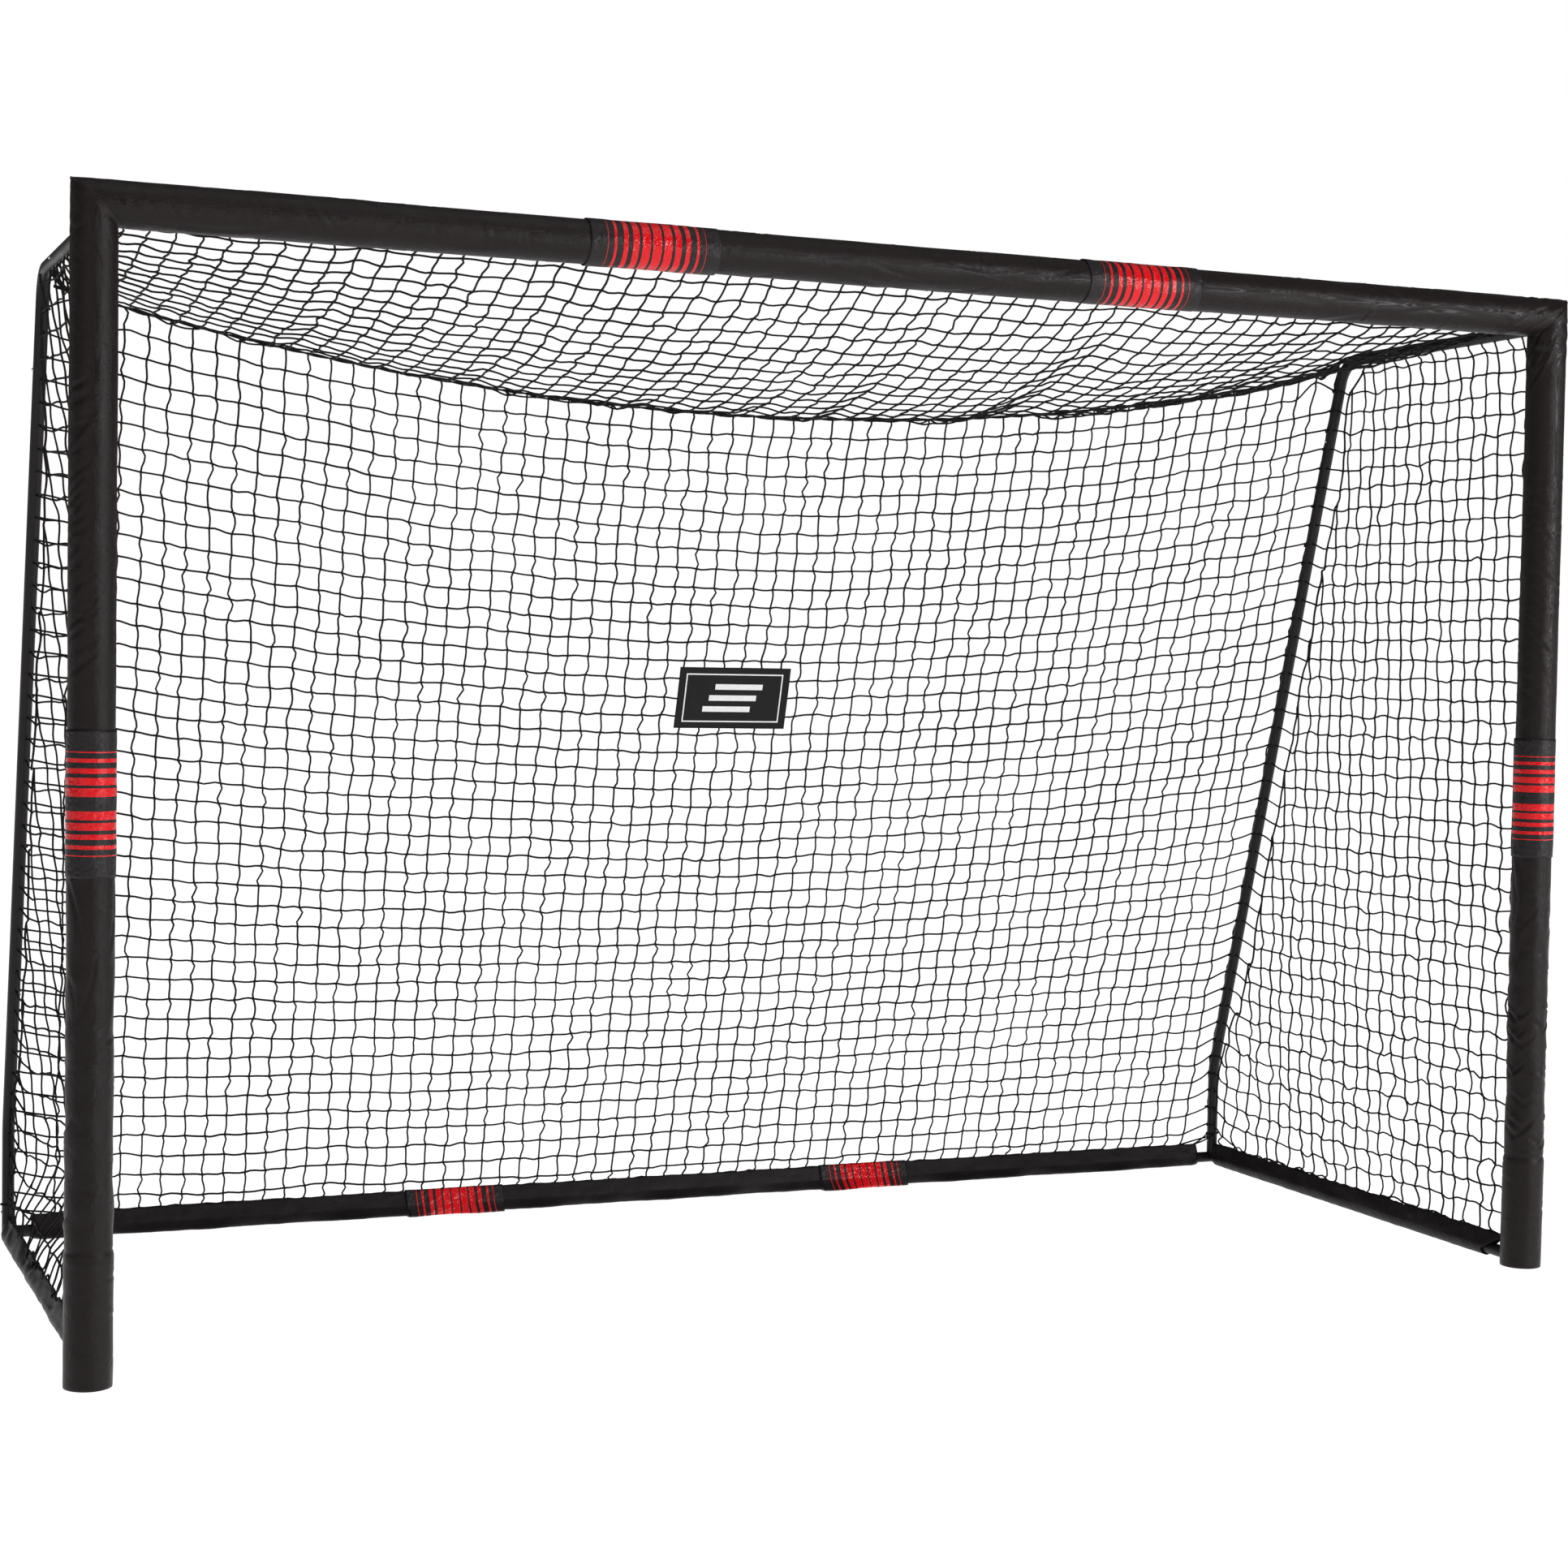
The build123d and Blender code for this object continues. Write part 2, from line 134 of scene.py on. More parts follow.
def ring_faces(count, around, closed, paired_ends=False):
    """Quads of a grid of rings, closed round each ring, and from the last ring to the first if closed."""
    i = np.arange(count if closed else count - 1)[:, None]
    j = np.arange(around)[None, :]
    k, n = (j + 1) % around, (i + 1) % count
    quads = np.stack(np.broadcast_arrays(i * around + j, i * around + k, n * around + k, n * around + j), -1)
    faces = quads.reshape(-1, 4)
    if paired_ends:
        a = np.arange(around // 2 - 1)
        start = np.stack([a, around - 1 - a, around - 2 - a, a + 1], -1)
        last = (count - 1) * around
        end = np.stack([last + a, last + a + 1, last + around - 2 - a, last + around - 1 - a], -1)
        faces = np.concatenate([faces, start, end])
    return faces


def closed_sheet(front, back):
    """Points and faces of a thin closed sheet, from grids of points on its two sides."""
    rings = np.concatenate([front, back[:, ::-1]], 1)
    return rings.reshape(-1, 3), ring_faces(len(rings), rings.shape[1], False, paired_ends=True).tolist()


def smooth_field(shape, cells, wrap=False):
    """Smooth random values from about -1 to 1 on a grid, with a lattice of the given number of cells."""
    rows, cols = cells
    lattice = rng.uniform(-1, 1, (rows + 3, cols if wrap else cols + 3))
    if wrap:
        lattice = np.concatenate([lattice, lattice[:, :3]], 1)

    def weights(n, span):
        """Lattice cell and cubic B-spline weights of each grid point."""
        t = np.arange(n) / (n if wrap and span == cols and n == shape[1] else max(n - 1, 1)) * span
        base = np.minimum(t.astype(int), span - 1)
        f = t - base
        third, fourth = -3 * f ** 3 + 3 * f ** 2 + 3 * f + 1, f ** 3
        return base, np.stack([(1 - f) ** 3, 3 * f ** 3 - 6 * f ** 2 + 4, third, fourth]) / 6
    bi, wi = weights(shape[0], rows)
    bj, wj = weights(shape[1], cols)
    out = np.zeros(shape)
    for a in range(4):
        for b in range(4):
            out += wi[a][:, None] * wj[b][None, :] * lattice[(bi + a)[:, None], (bj + b)[None, :]]
    return out * 1.7


def creases(s, t, around, folds):
    """Depth of fold lines on a surface with coordinates s along and t around, in metres.

    Each fold is (s, t, angle, length, width, depth). The surface closes after `around` metres of t.
    """
    depth = np.zeros_like(s)
    for s0, t0, angle, length, width, amount in folds:
        ds = s - s0
        dt = (t - t0 + around / 2) % around - around / 2
        along = ds * math.cos(angle) + dt * math.sin(angle)
        across = -ds * math.sin(angle) + dt * math.cos(angle) + 0.12 * along ** 2 / length
        window = np.exp(-(along / length) ** 4)
        valley = np.exp(-(across / width) ** 2)
        shoulder = np.exp(-((across - 2.1 * width) / (1.5 * width)) ** 2)
        depth += amount * window * (0.55 * shoulder - valley)
    return depth


# ---- materials ----

class Look:
    """A material under construction: its shader, and short ways to add procedural detail."""

    def __init__(self, name, colour, roughness, metallic=0.0, specular=None):
        self.material = bpy.data.materials.new(name)
        self.material.use_nodes = True
        self.nodes, self.links = self.material.node_tree.nodes, self.material.node_tree.links
        self.shader = self.nodes["Principled BSDF"].inputs
        self.shader["Base Color"].default_value = (*colour, 1)
        self.shader["Roughness"].default_value = roughness
        self.shader["Metallic"].default_value = metallic
        if specular is not None:
            self.shader["Specular IOR Level"].default_value = specular
        self.place = self.nodes.new("ShaderNodeTexCoord").outputs["Object"]

    def node(self, kind, **values):
        """New node, with values for its inputs or its settings."""
        made = self.nodes.new(kind)
        for key, value in values.items():
            if key in made.inputs:
                made.inputs[key].default_value = value
            else:
                setattr(made, key, value)
        return made

    def feed(self, socket, value):
        """Gives an input a socket, a colour or a number."""
        if hasattr(value, "is_output"):
            self.links.new(value, socket)
        else:
            socket.default_value = (*value, 1) if isinstance(value, tuple) else value

    def calc(self, operation, *terms):
        made = self.node("ShaderNodeMath", operation=operation)
        for socket, term in zip(made.inputs, terms):
            self.feed(socket, term)
        return made.outputs[0]

    def axes(self):
        parts = self.node("ShaderNodeSeparateXYZ")
        self.feed(parts.inputs["Vector"], self.place)
        return parts.outputs

    def noise(self, scale, detail, distortion=0.0, stretch=None):
        made = self.node("ShaderNodeTexNoise", Scale=scale, Detail=detail, Distortion=distortion)
        at = self.place
        if stretch:
            mapping = self.node("ShaderNodeMapping", Scale=stretch)
            self.feed(mapping.inputs["Vector"], at)
            at = mapping.outputs["Vector"]
        self.feed(made.inputs["Vector"], at)
        return made.outputs["Fac"]

    def span(self, value, from_low, from_high, to_low, to_high):
        """Maps one range to another."""
        made = self.node("ShaderNodeMapRange", **{"From Min": from_low, "From Max": from_high,
                                                  "To Min": to_low, "To Max": to_high})
        self.feed(made.inputs["Value"], value)
        return made.outputs["Result"]

    def mix(self, factor, first, second):
        made = self.node("ShaderNodeMix", data_type="RGBA")
        for socket, value in ((0, factor), (6, first), (7, second)):
            self.feed(made.inputs[socket], value)
        return made.outputs[2]

    def weave(self, pitch):
        """Height of a plain weave, from crossed waves."""
        parts = self.axes()
        waves = [self.calc("MULTIPLY", parts[axis], TURN / pitch) for axis in "XYZ"]
        x, y, z = (self.calc("SINE", wave) for wave in waves)
        return self.calc("ADD", self.calc("MULTIPLY", x, y), self.calc("MULTIPLY", y, z))

    def colour(self, value):
        self.feed(self.shader["Base Color"], value)

    def roughness(self, factor, low, high):
        """Roughness from low to high as a noise goes from 0.3 to 0.7."""
        self.feed(self.shader["Roughness"], self.span(factor, 0.3, 0.7, low, high))

    def bumps(self, *layers):
        """Chained bumps from (height, distance) pairs."""
        normal = None
        for height, distance in layers:
            bump = self.node("ShaderNodeBump", Strength=1.0, Distance=distance)
            self.feed(bump.inputs["Height"], height)
            if normal is not None:
                self.feed(bump.inputs["Normal"], normal)
            normal = bump.outputs["Normal"]
        self.feed(self.shader["Normal"], normal)


def coated_fabric(name, dark, light, roughness, pitch=0.0011):
    look = Look(name, dark, roughness, specular=0.18)
    patches, grain = look.noise(9.0, 5), look.noise(260.0, 3)
    worn = look.mix(patches, dark, light)
    look.colour(look.mix(grain, worn, tuple(0.8 * c for c in dark)))
    look.roughness(patches, roughness - 0.06, roughness + 0.08)
    soft = look.noise(38.0, 3, distortion=0.4)
    look.bumps((soft, 0.0019), (look.weave(pitch), 0.00005), (grain, 0.0001))
    return look


STRIPE_RED = (0.70, 0.0025, 0.0075)
# centre and width of each red stripe along a band, in millimetres
BAR_STRIPES = [(-91.5, 1.6), (-77.5, 4.6), (-58, 8), (-39.5, 12), (-20.5, 15), (0, 17),
               (20.5, 15), (39.5, 12), (58, 8), (77.5, 4.6), (91.5, 1.6)]
POST_STRIPES = [(s * at, wide) for s in (-1, 1)
                for at, wide in ((19, 14.5), (37, 12.4), (54.2, 8.6), (71.5, 6), (85.5, 1.6))]


def striped_vinyl(name, axis, centre, half, stripes):
    """Glossy band fabric: red stripes across an axis, black between and at the ends."""
    look = Look(name, STRIPE_RED, 0.26, specular=0.3)
    wobbled = look.calc("MULTIPLY_ADD", look.noise(30.0, 2), 0.0012, look.axes()[axis])
    start = centre - half + 0.0006
    mask = look.node("ShaderNodeValToRGB")
    mask.color_ramp.interpolation = "CONSTANT"
    elements = mask.color_ramp.elements
    elements.remove(elements[-1])
    elements[0].position, elements[0].color = 0.0, (0, 0, 0, 1)
    for at, wide in sorted(stripes):
        for edge, value in ((at - wide / 2, 1), (at + wide / 2, 0)):
            elements.new(0.5 + edge / 2000 / half).color = (value, value, value, 1)
    look.feed(mask.inputs["Fac"], look.span(wobbled, start, start + 2 * half, 0, 1))
    printed = mask.outputs["Color"]
    fade = look.noise(22.0, 4)
    red = look.mix(fade, STRIPE_RED, (0.58, 0.002, 0.006))
    black = look.mix(fade, (0.0052, 0.0036, 0.0038), (0.0095, 0.0070, 0.0074))
    look.colour(look.mix(printed, black, red))
    look.feed(look.shader["Roughness"], look.span(printed, 0, 1, 0.46, 0.16))
    crinkle, fine = look.noise(75.0, 4, distortion=1.2), look.noise(420.0, 2)
    look.bumps((crinkle, 0.0026), (fine, 0.00006), (look.weave(0.0009), 0.00002))
    return look.material


def powder_coat(name):
    look = Look(name, (0.014, 0.012, 0.013), 0.38, specular=0.18)
    patches = look.noise(14.0, 4)
    look.colour(look.mix(patches, (0.0065, 0.0058, 0.006), (0.013, 0.0105, 0.011)))
    look.roughness(patches, 0.32, 0.46)
    orange_peel, scuffs = look.noise(520.0, 2), look.noise(60.0, 6, stretch=(1, 1, 0.2))
    look.bumps((orange_peel, 0.00018), (scuffs, 0.00012))
    return look.material


def net_cord(name):
    """Twisted polyester: fine lay marks, a little fuzz and faded patches."""
    look = Look(name, (0.010, 0.009, 0.009), 0.62, specular=0.15)
    patches = look.noise(3.5, 4)
    look.colour(look.mix(patches, (0.003, 0.0027, 0.0027), (0.009, 0.008, 0.008)))
    look.roughness(patches, 0.55, 0.72)
    look.bumps((look.noise(900.0, 2), 0.0003), (look.weave(0.0016), 0.0001))
    return look.material


def plain(name, first, second, roughness, metallic=0.0):
    look = Look(name, first, roughness, metallic)
    patches = look.noise(40.0, 5)
    look.colour(look.mix(patches, first, second))
    look.roughness(patches, roughness - 0.05, roughness + 0.07)
    look.bumps((look.noise(240.0, 3), 0.0001))
    return look.material


def foam_material(name):
    look = Look(name, (0.03, 0.03, 0.032), 0.95)
    cells = look.node("ShaderNodeTexVoronoi", Scale=650.0)
    look.feed(cells.inputs["Vector"], look.place)
    depth = cells.outputs["Distance"]
    # painted shade: the colour darkens towards each pore's centre, where the same distance makes the bump
    # lowest, so the pores carry painted shade
    look.colour(look.mix(depth, (0.012, 0.012, 0.013), (0.06, 0.06, 0.062)))
    look.bumps((depth, 0.0008))
    return look.material


PAD = coated_fabric("pad_fabric", (0.0085, 0.0052, 0.0056), (0.0135, 0.0088, 0.0093), 0.38).material
SLEEVE = coated_fabric("ground_sleeve_fabric", (0.0062, 0.0042, 0.0045), (0.0110, 0.0078, 0.0082),
                       0.46).material
FOAM = foam_material("foam_cells")
STEEL = powder_coat("powder_coated_steel")
NET = net_cord("net_twine")
ZINC = plain("zinc_steel", (0.46, 0.46, 0.47), (0.62, 0.62, 0.61), 0.32, 1.0)
PLASTIC = plain("moulded_plastic", (0.012, 0.012, 0.012), (0.02, 0.02, 0.02), 0.48)


# ---- padded sleeves ----

CIRCLE = TURN * PAD_R
JOINT_GAP = 0.0004  # half of the gap between two pads
BORE_R = CORE_R + 0.0004
# radius and distance from the end of each ring of a turned hem and of the foam's end face
HEM = ((0.0389, -0.0004), (0.0375, 0.0002), (0.0368, 0.0024))
FOAM_FACE = ((0.0340, 0.003), (0.0270, 0.003), (BORE_R, 0.003))
FOOT_SEAM = 0.232
CORNER_DEPTHS = {-1: (0.0001, 0.0004), 1: (0.0006, 0.0013)}  # the padding is smoother at the left corner


def random_folds(count, s_range, angles, lengths, widths, depths, around=CIRCLE):
    """Folds for creases(), each value drawn between two limits, leaning either way."""
    return [(rng.uniform(*s_range), rng.uniform(0, around), rng.uniform(*angles) * rng.choice([-1, 1]),
             rng.uniform(*lengths), rng.uniform(*widths), rng.uniform(*depths)) for _ in range(count)]


def pad(name, start, end, sideways, replaced, cuts=(0.0, 0.0), folds=(), seams=(), rough_ends=(0.4, 0.4),
        crumple=(0.0, 0.0)):
    """Foam sleeve in coated fabric from start to end, with an outer skin, turned hems and a bore.

    cuts gives, at each end, how far the end runs on at the sideways side: +1 or -1 makes a mitre.
    crumple gives where a stretch of small dents starts and ends.
    """
    start, end, side = Vector(start), Vector(end), Vector(sideways)
    axis = (end - start).normalized()
    third = axis.cross(side)
    length = (end - start).length
    around = 96
    angles = np.arange(around) / around * TURN
    cos, sin = np.cos(angles)[None, :], np.sin(angles)[None, :]
    u = np.linspace(0, 1, int(length / 0.005) + 1)[:, None]
    s = u * length + 0 * cos
    t = (angles / TURN * CIRCLE)[None, :] + 0 * s

    def uneven(cell, cells_around):
        return smooth_field(s.shape, (max(2, int(length / cell)), cells_around), wrap=True)
    swell = 0.0007 * uneven(0.11, 5)
    swell += 0.00028 * uneven(0.03, 12)
    swell += 1.4 * creases(s, t, CIRCLE, folds)
    swell += 0.0013 * uneven(0.022, 15) * (clamp((s - crumple[0]) / 0.05) * clamp((crumple[1] - s) / 0.2))
    for at in seams:
        # the cover flares below a seam, and its edge is rolled above it
        swell += 0.0021 * clamp((at - s) / 0.012)
        swell -= 0.0011 * np.exp(-((s - at) / 0.0022) ** 2)
        swell += 0.0004 * np.exp(-((s - at - 0.006) / 0.004) ** 2)
    # the fabric is drawn in a little where it is sewn at each end
    for distance, pull in ((s, rough_ends[0]), (length - s, rough_ends[1])):
        swell -= 0.0011 * pull * np.exp(-distance / 0.012)
    radius = PAD_R - 0.0006 + np.clip(swell, -0.0045, 0.0032)

    def ring(share, r, inset=0.0):
        """Points round the pad at a share of its length, following the cuts at its ends."""
        low = inset + cuts[0] * r * cos
        high = length - inset + cuts[1] * r * cos
        return lay(start, (low + (high - low) * share, axis), (r * cos, side), (r * sin, third))

    face = [(*step, 0) for step in HEM] + [(*step, 1) for step in FOAM_FACE]
    inside = [(1.0, *step) for step in face]
    inside += [(share, BORE_R, 0.0, 1) for share in np.linspace(1, 0, 9)[1:-1]]
    inside += [(0.0, *step) for step in reversed(face)]
    rings = list(ring(u, radius))
    kinds = np.array([0] * len(rings) + [step[3] for step in inside])
    rings += [ring(share, np.full((1, around), r), inset)[0] for share, r, inset, _ in inside]
    faces = ring_faces(len(rings), around, True)
    face_kinds = np.repeat(np.maximum(kinds, np.roll(kinds, -1)), around)
    obj = new_object(name, np.concatenate(rings), faces.tolist(), [PAD, FOAM], face_kinds)
    on_frame(obj, "pad_cover", *replaced)


def post_folds_low(length):
    """Short creases all along, chevrons above the foot seam and long creases higher up."""
    folds = random_folds(46, (0.02, length), (1.25, 1.57), (0.012, 0.035), (0.0018, 0.0035), (0.0003, 0.0009))
    for _ in range(14):
        s0, t0 = rng.uniform(0.26, 0.62), rng.uniform(0.5, 1.0) * CIRCLE
        for sign in (-1, 1):
            folds.append((s0, t0 + sign * 0.013, sign * 0.95, 0.022, 0.0034, rng.uniform(0.0012, 0.0022)))
    return folds + random_folds(10, (0.60, 0.86), (0.2, 0.7), (0.03, 0.08), (0.003, 0.006), (0.0006, 0.0013))


def post_folds_high(length, side):
    """Short creases all along, a row of parallel ones slanting across the front, and some at the corner."""
    folds = random_folds(36, (0.03, length - 0.02), (1.2, 1.57), (0.012, 0.03), (0.0018, 0.0035),
                         (0.0002, 0.0006))
    row = random_folds(26, (0.0, 0.010), (0.65, 0.95), (0.018, 0.034), (0.0022, 0.0034), (0.0006, 0.0012))
    row_start, row_pitch = 0.21, 0.018
    first, reach = 0.07 if side < 0 else 0.60, 0.14  # shares of the circle, on the part that faces forwards
    for k, (s0, t0, angle, *rest) in enumerate(row):
        folds.append((row_start + row_pitch * k + s0, first * CIRCLE + reach * t0, -side * abs(angle), *rest))
    return folds + random_folds(20, (length - 0.10, length - 0.01), (0.4, 1.0), (0.02, 0.045), (0.003, 0.005),
                                CORNER_DEPTHS[side])


def bar_folds(length, side=0):
    """Short and long creases, and some at the corner on a length of crossbar that has one."""
    folds = random_folds(40, (0.03, length - 0.03), (1.25, 1.57), (0.012, 0.04), (0.0018, 0.004),
                         (0.0003, 0.0008))
    folds += random_folds(14, (0.05, length - 0.05), (0.0, 0.35), (0.04, 0.12), (0.003, 0.007),
                          (0.0005, 0.0012))
    if side:
        folds += random_folds(20, (0.0, 0.10), (0.4, 1.1), (0.02, 0.045), (0.003, 0.005), CORNER_DEPTHS[side])
    return folds


for name, side in SIDES:
    x = side * POST_X
    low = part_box("post_cover_lower_" + name)[0].z
    pad("post_pad_lower_" + name, (x, FRONT_Y, low), (x, FRONT_Y, JOINT_Z - JOINT_GAP), (side, 0, 0),
        ["post_cover_lower_" + name, "post_foam_" + name], folds=post_folds_low(JOINT_Z - low),
        seams=(FOOT_SEAM,), crumple=(0.24, 0.85))
    pad("post_pad_upper_" + name, (x, FRONT_Y, JOINT_Z + JOINT_GAP), (x, FRONT_Y, BAR_Z), (side, 0, 0),
        ["post_cover_upper_" + name], cuts=(0, 1), folds=post_folds_high(BAR_Z - JOINT_Z, side),
        rough_ends=(0.4, 0.9))
    pad("crossbar_pad_" + name, (x, FRONT_Y, BAR_Z), (side * (JOINT_X + JOINT_GAP), FRONT_Y, BAR_Z),
        (0, 0, 1), ["crossbar_cover_" + name] + (["crossbar_foam"] if side < 0 else []),
        cuts=(-1, 0), folds=bar_folds(POST_X - JOINT_X, side), rough_ends=(0.9, 0.4))
pad("crossbar_pad_middle", (-JOINT_X + JOINT_GAP, FRONT_Y, BAR_Z), (JOINT_X - JOINT_GAP, FRONT_Y, BAR_Z),
    (0, 0, 1), ["crossbar_cover_middle"], folds=bar_folds(2 * JOINT_X))


# ---- hook-and-loop bands ----

OPEN_ROUND = 9.0  # longer than a band's wrap, so its folds don't meet at its tab
TAB_TURN = math.radians(46)
BAND_WALL = 0.0011


def wrap_band(name, centre, axis, stripes_material):
    """Strip of vinyl wrapped once round the padding, with its tab laid over itself at the rear."""
    rearwards = Vector((0, 1, 0))
    third = Vector(axis).cross(rearwards)
    turn = TURN + TAB_TURN
    rows, cols = 56, 132
    u = np.linspace(-1, 1, rows)[:, None]
    a = np.linspace(0, turn, cols)[None, :]
    over = clamp((a - TURN + 0.25) / 0.25)
    lift = (over * over * (3 - 2 * over)) * (BAND_WALL + 0.0003)
    swell = 0.0006 * smooth_field((rows, cols), (7, 22)) + 0.0003 * smooth_field((rows, cols), (20, 46))
    folds = random_folds(14, (-BAND_HALF, BAND_HALF), (0.0, 0.5), (0.02, 0.06), (0.0025, 0.005),
                         (0.0005, 0.0012), OPEN_ROUND)
    folds = [(s0, t0 / OPEN_ROUND * turn * PAD_R, *rest) for s0, t0, *rest in folds]
    s = u * BAND_HALF + 0 * a
    swell += creases(s, a * PAD_R + 0 * s, OPEN_ROUND, folds)
    radius = PAD_R + 0.0002 + BAND_WALL + lift + np.clip(swell, -0.0002, 0.0016)
    where = s * (1 + 0.004 * np.sin(3 * a))

    def place(r):
        return lay(centre, (where, axis), (r * np.cos(a), rearwards), (r * np.sin(a), third))
    points, faces = closed_sheet(place(radius), place(radius - BAND_WALL))
    obj = on_frame(new_object(name + "_wrap", points, faces, [stripes_material]), "striped_band", name)


for name, side in SIDES:
    stripes = striped_vinyl("post_stripes_" + name, "Z", JOINT_Z, BAND_HALF, POST_STRIPES)
    wrap_band("post_band_" + name, (side * POST_X, FRONT_Y, JOINT_Z), (0, 0, 1), stripes)
    stripes = striped_vinyl("bar_stripes_" + name, "X", side * JOINT_X, BAND_HALF, BAR_STRIPES)
    wrap_band("crossbar_band_" + name, (side * JOINT_X, FRONT_Y, BAR_Z), (1, 0, 0), stripes)


# ---- ground sleeves and their bands ----

TIP_R = 0.003  # radius of the hem along the top of a sleeve
RISE = HEM_Z - GROUND_Z  # height of the hem above the ground tube's axis


def drop_outline(radius, tip_radius, tip_height, count):
    """Points round a drop: an arc under the tube, two flat sides and a small round tip, evenly spaced."""
    lean = math.asin((radius - tip_radius) / tip_height)
    low = [(radius * math.cos(a), radius * math.sin(a)) for a in np.linspace(lean, -math.pi - lean, 60)]
    tip = [(tip_radius * math.cos(a), tip_height + tip_radius * math.sin(a))
           for a in np.linspace(math.pi - lean, lean, 16)]
    line = np.array(low + tip + low[:1])
    walked = np.concatenate([[0], np.cumsum(np.linalg.norm(np.diff(line, axis=0), axis=1))])
    at = np.linspace(0, walked[-1], count, endpoint=False)
    return np.stack([np.interp(at, walked, line[:, 0]), np.interp(at, walked, line[:, 1])], 1)


def ground_sleeve(name, start, end, ruffle, replaced, slot, surface, grow=0.0, step=0.006,
                  wall=0.0009, tilt=(0.0, 0.0), skirt=0.0, ease=0.02, flat_spots=()):
    """Drop-shaped fabric tunnel round a ground tube, gathered lengthways by the ruffle amount.

    tilt slides the hem along at each end, skirt spreads the slack fabric on the floor, ease is the
    length over which that fades at the ends, and flat_spots are held flat under a band.
    """
    start, end = Vector(start), Vector(end)
    axis = (end - start).normalized()
    across = Vector((0, 0, 1)).cross(axis)
    length = (end - start).length
    count = 72
    tip_height = RISE - TIP_R
    outline = drop_outline(SLEEVE_R + grow, TIP_R + grow, tip_height, count)
    inner_outline = drop_outline(SLEEVE_R + grow - wall, TIP_R + grow - 0.85 * wall, tip_height, count)
    rows = max(12, int(length / step))
    u = np.linspace(0, 1, rows)[:, None]
    s = u * length + 0 * outline[None, :, 0]
    height = (outline[:, 1] / RISE)[None, :]
    free = np.clip(height * 0.75 + 0.45, 0.08, 1.0)
    edge = clamp(s / ease) * clamp((length - s) / ease)
    along_axis = np.dot(start, axis) + u * length
    for spot, half_spot in flat_spots:
        ruffle = ruffle * np.clip((abs(along_axis - spot) - half_spot) / 0.03, 0.05, 1)

    def uneven(cell, cells_around):
        return smooth_field(s.shape, (max(3, int(length / cell)), cells_around), wrap=True)
    ruffles = uneven(0.045, 5)
    ruffles += 0.6 * uneven(0.018, 7)
    waves = uneven(0.15, 3)
    swell = ruffle * free * (0.35 + 0.65 * edge) * (0.6 * ruffles + 0.5 * waves)
    swell += 0.0004 * uneven(0.01, 10)
    lean = 0.0015 * smooth_field((rows, 1), (max(2, int(length / 0.2)), 1))
    out_dir = outline - np.array([0, 0.008])[None, :]
    out_dir = out_dir / np.linalg.norm(out_dir, axis=1)[:, None]
    shift = (tilt[0] * (1 - u) + tilt[1] * u) * clamp(height)
    spread = 1 + 0.25 * np.sin(17 * along_axis + 1) + 0.14 * np.sin(43 * along_axis + 2)

    def slumped(line):
        """Slack fabric spreads on the floor at one side of the tube."""
        low = clamp((0.006 - line[:, 1]) / (0.006 + GROUND_Z)) ** 1.5
        facing = clamp(np.sign(skirt) * line[:, 0] / SLEEVE_R + 0.25)
        return skirt * (low * facing)[None, :] * spread * edge

    def place(line, above_floor):
        x = line[None, :, 0] + out_dir[None, :, 0] * swell + lean * clamp(height) + slumped(line)
        z = line[None, :, 1] + out_dir[None, :, 1] * swell
        z = np.minimum(np.maximum(z, -GROUND_Z + 0.0006 + above_floor), RISE + 0.004)
        return lay(start, (s + shift, axis), (x, across), (z, (0, 0, 1)))
    rings = np.concatenate([place(outline, 0.0), place(inner_outline, wall)[::-1]], 0)
    faces = ring_faces(len(rings), count, True)
    obj = on_frame(new_object(name, rings.reshape(-1, 3), faces.tolist(), [surface]), slot, replaced)


rear_low, rear_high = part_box("rear_ground_sleeve")
ground_sleeve("rear_ground_sleeve_cloth", (rear_low.x, REAR_Y, GROUND_Z), (rear_high.x, REAR_Y, GROUND_Z),
              0.0016, "rear_ground_sleeve", "bar_sleeve", SLEEVE, skirt=-0.028,
              flat_spots=[(-JOINT_X, BAND_HALF + 0.01), (JOINT_X, BAND_HALF + 0.01)])
for name, side in SIDES:
    low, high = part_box("side_ground_sleeve_" + name)
    x = side * SIDE_X
    ground_sleeve("side_ground_sleeve_cloth_" + name, (x, low.y, GROUND_Z), (x, high.y, GROUND_Z),
                  0.0075 if side < 0 else 0.0034, "side_ground_sleeve_" + name, "bar_sleeve", SLEEVE,
                  tilt=(-0.060, 0.020))
    half = size("ground_band_" + name).x / 2
    x = side * JOINT_X
    closer = [(at * 0.95, wide) for at, wide in BAR_STRIPES]
    stripes = striped_vinyl("ground_stripes_" + name, "X", x, half, closer)
    ground_sleeve("ground_band_wrap_" + name, (x - half, REAR_Y, GROUND_Z), (x + half, REAR_Y, GROUND_Z),
                  0.0007, "ground_band_" + name, "striped_band", stripes,
                  grow=0.0026, step=0.004, wall=0.001, skirt=-0.030, ease=1e-4)


# ---- net ----

PER_CELL = 4  # points of a cord in each cell
COLUMNS = 64
TOP_ROWS, BACK_ROWS = 15, 43
SETTLE_STEPS = 60
HEAD_ENDS_Z = CORD_HIGH.z - 0.003
HEAD_SAG = HEAD_ENDS_Z - (CORD_LOW.z + 0.003)
HEAD_HALF = (CORD_HIGH.x - CORD_LOW.x) / 2 - 0.001
X_DIR, Y_DIR, Z_DIR = np.eye(3)


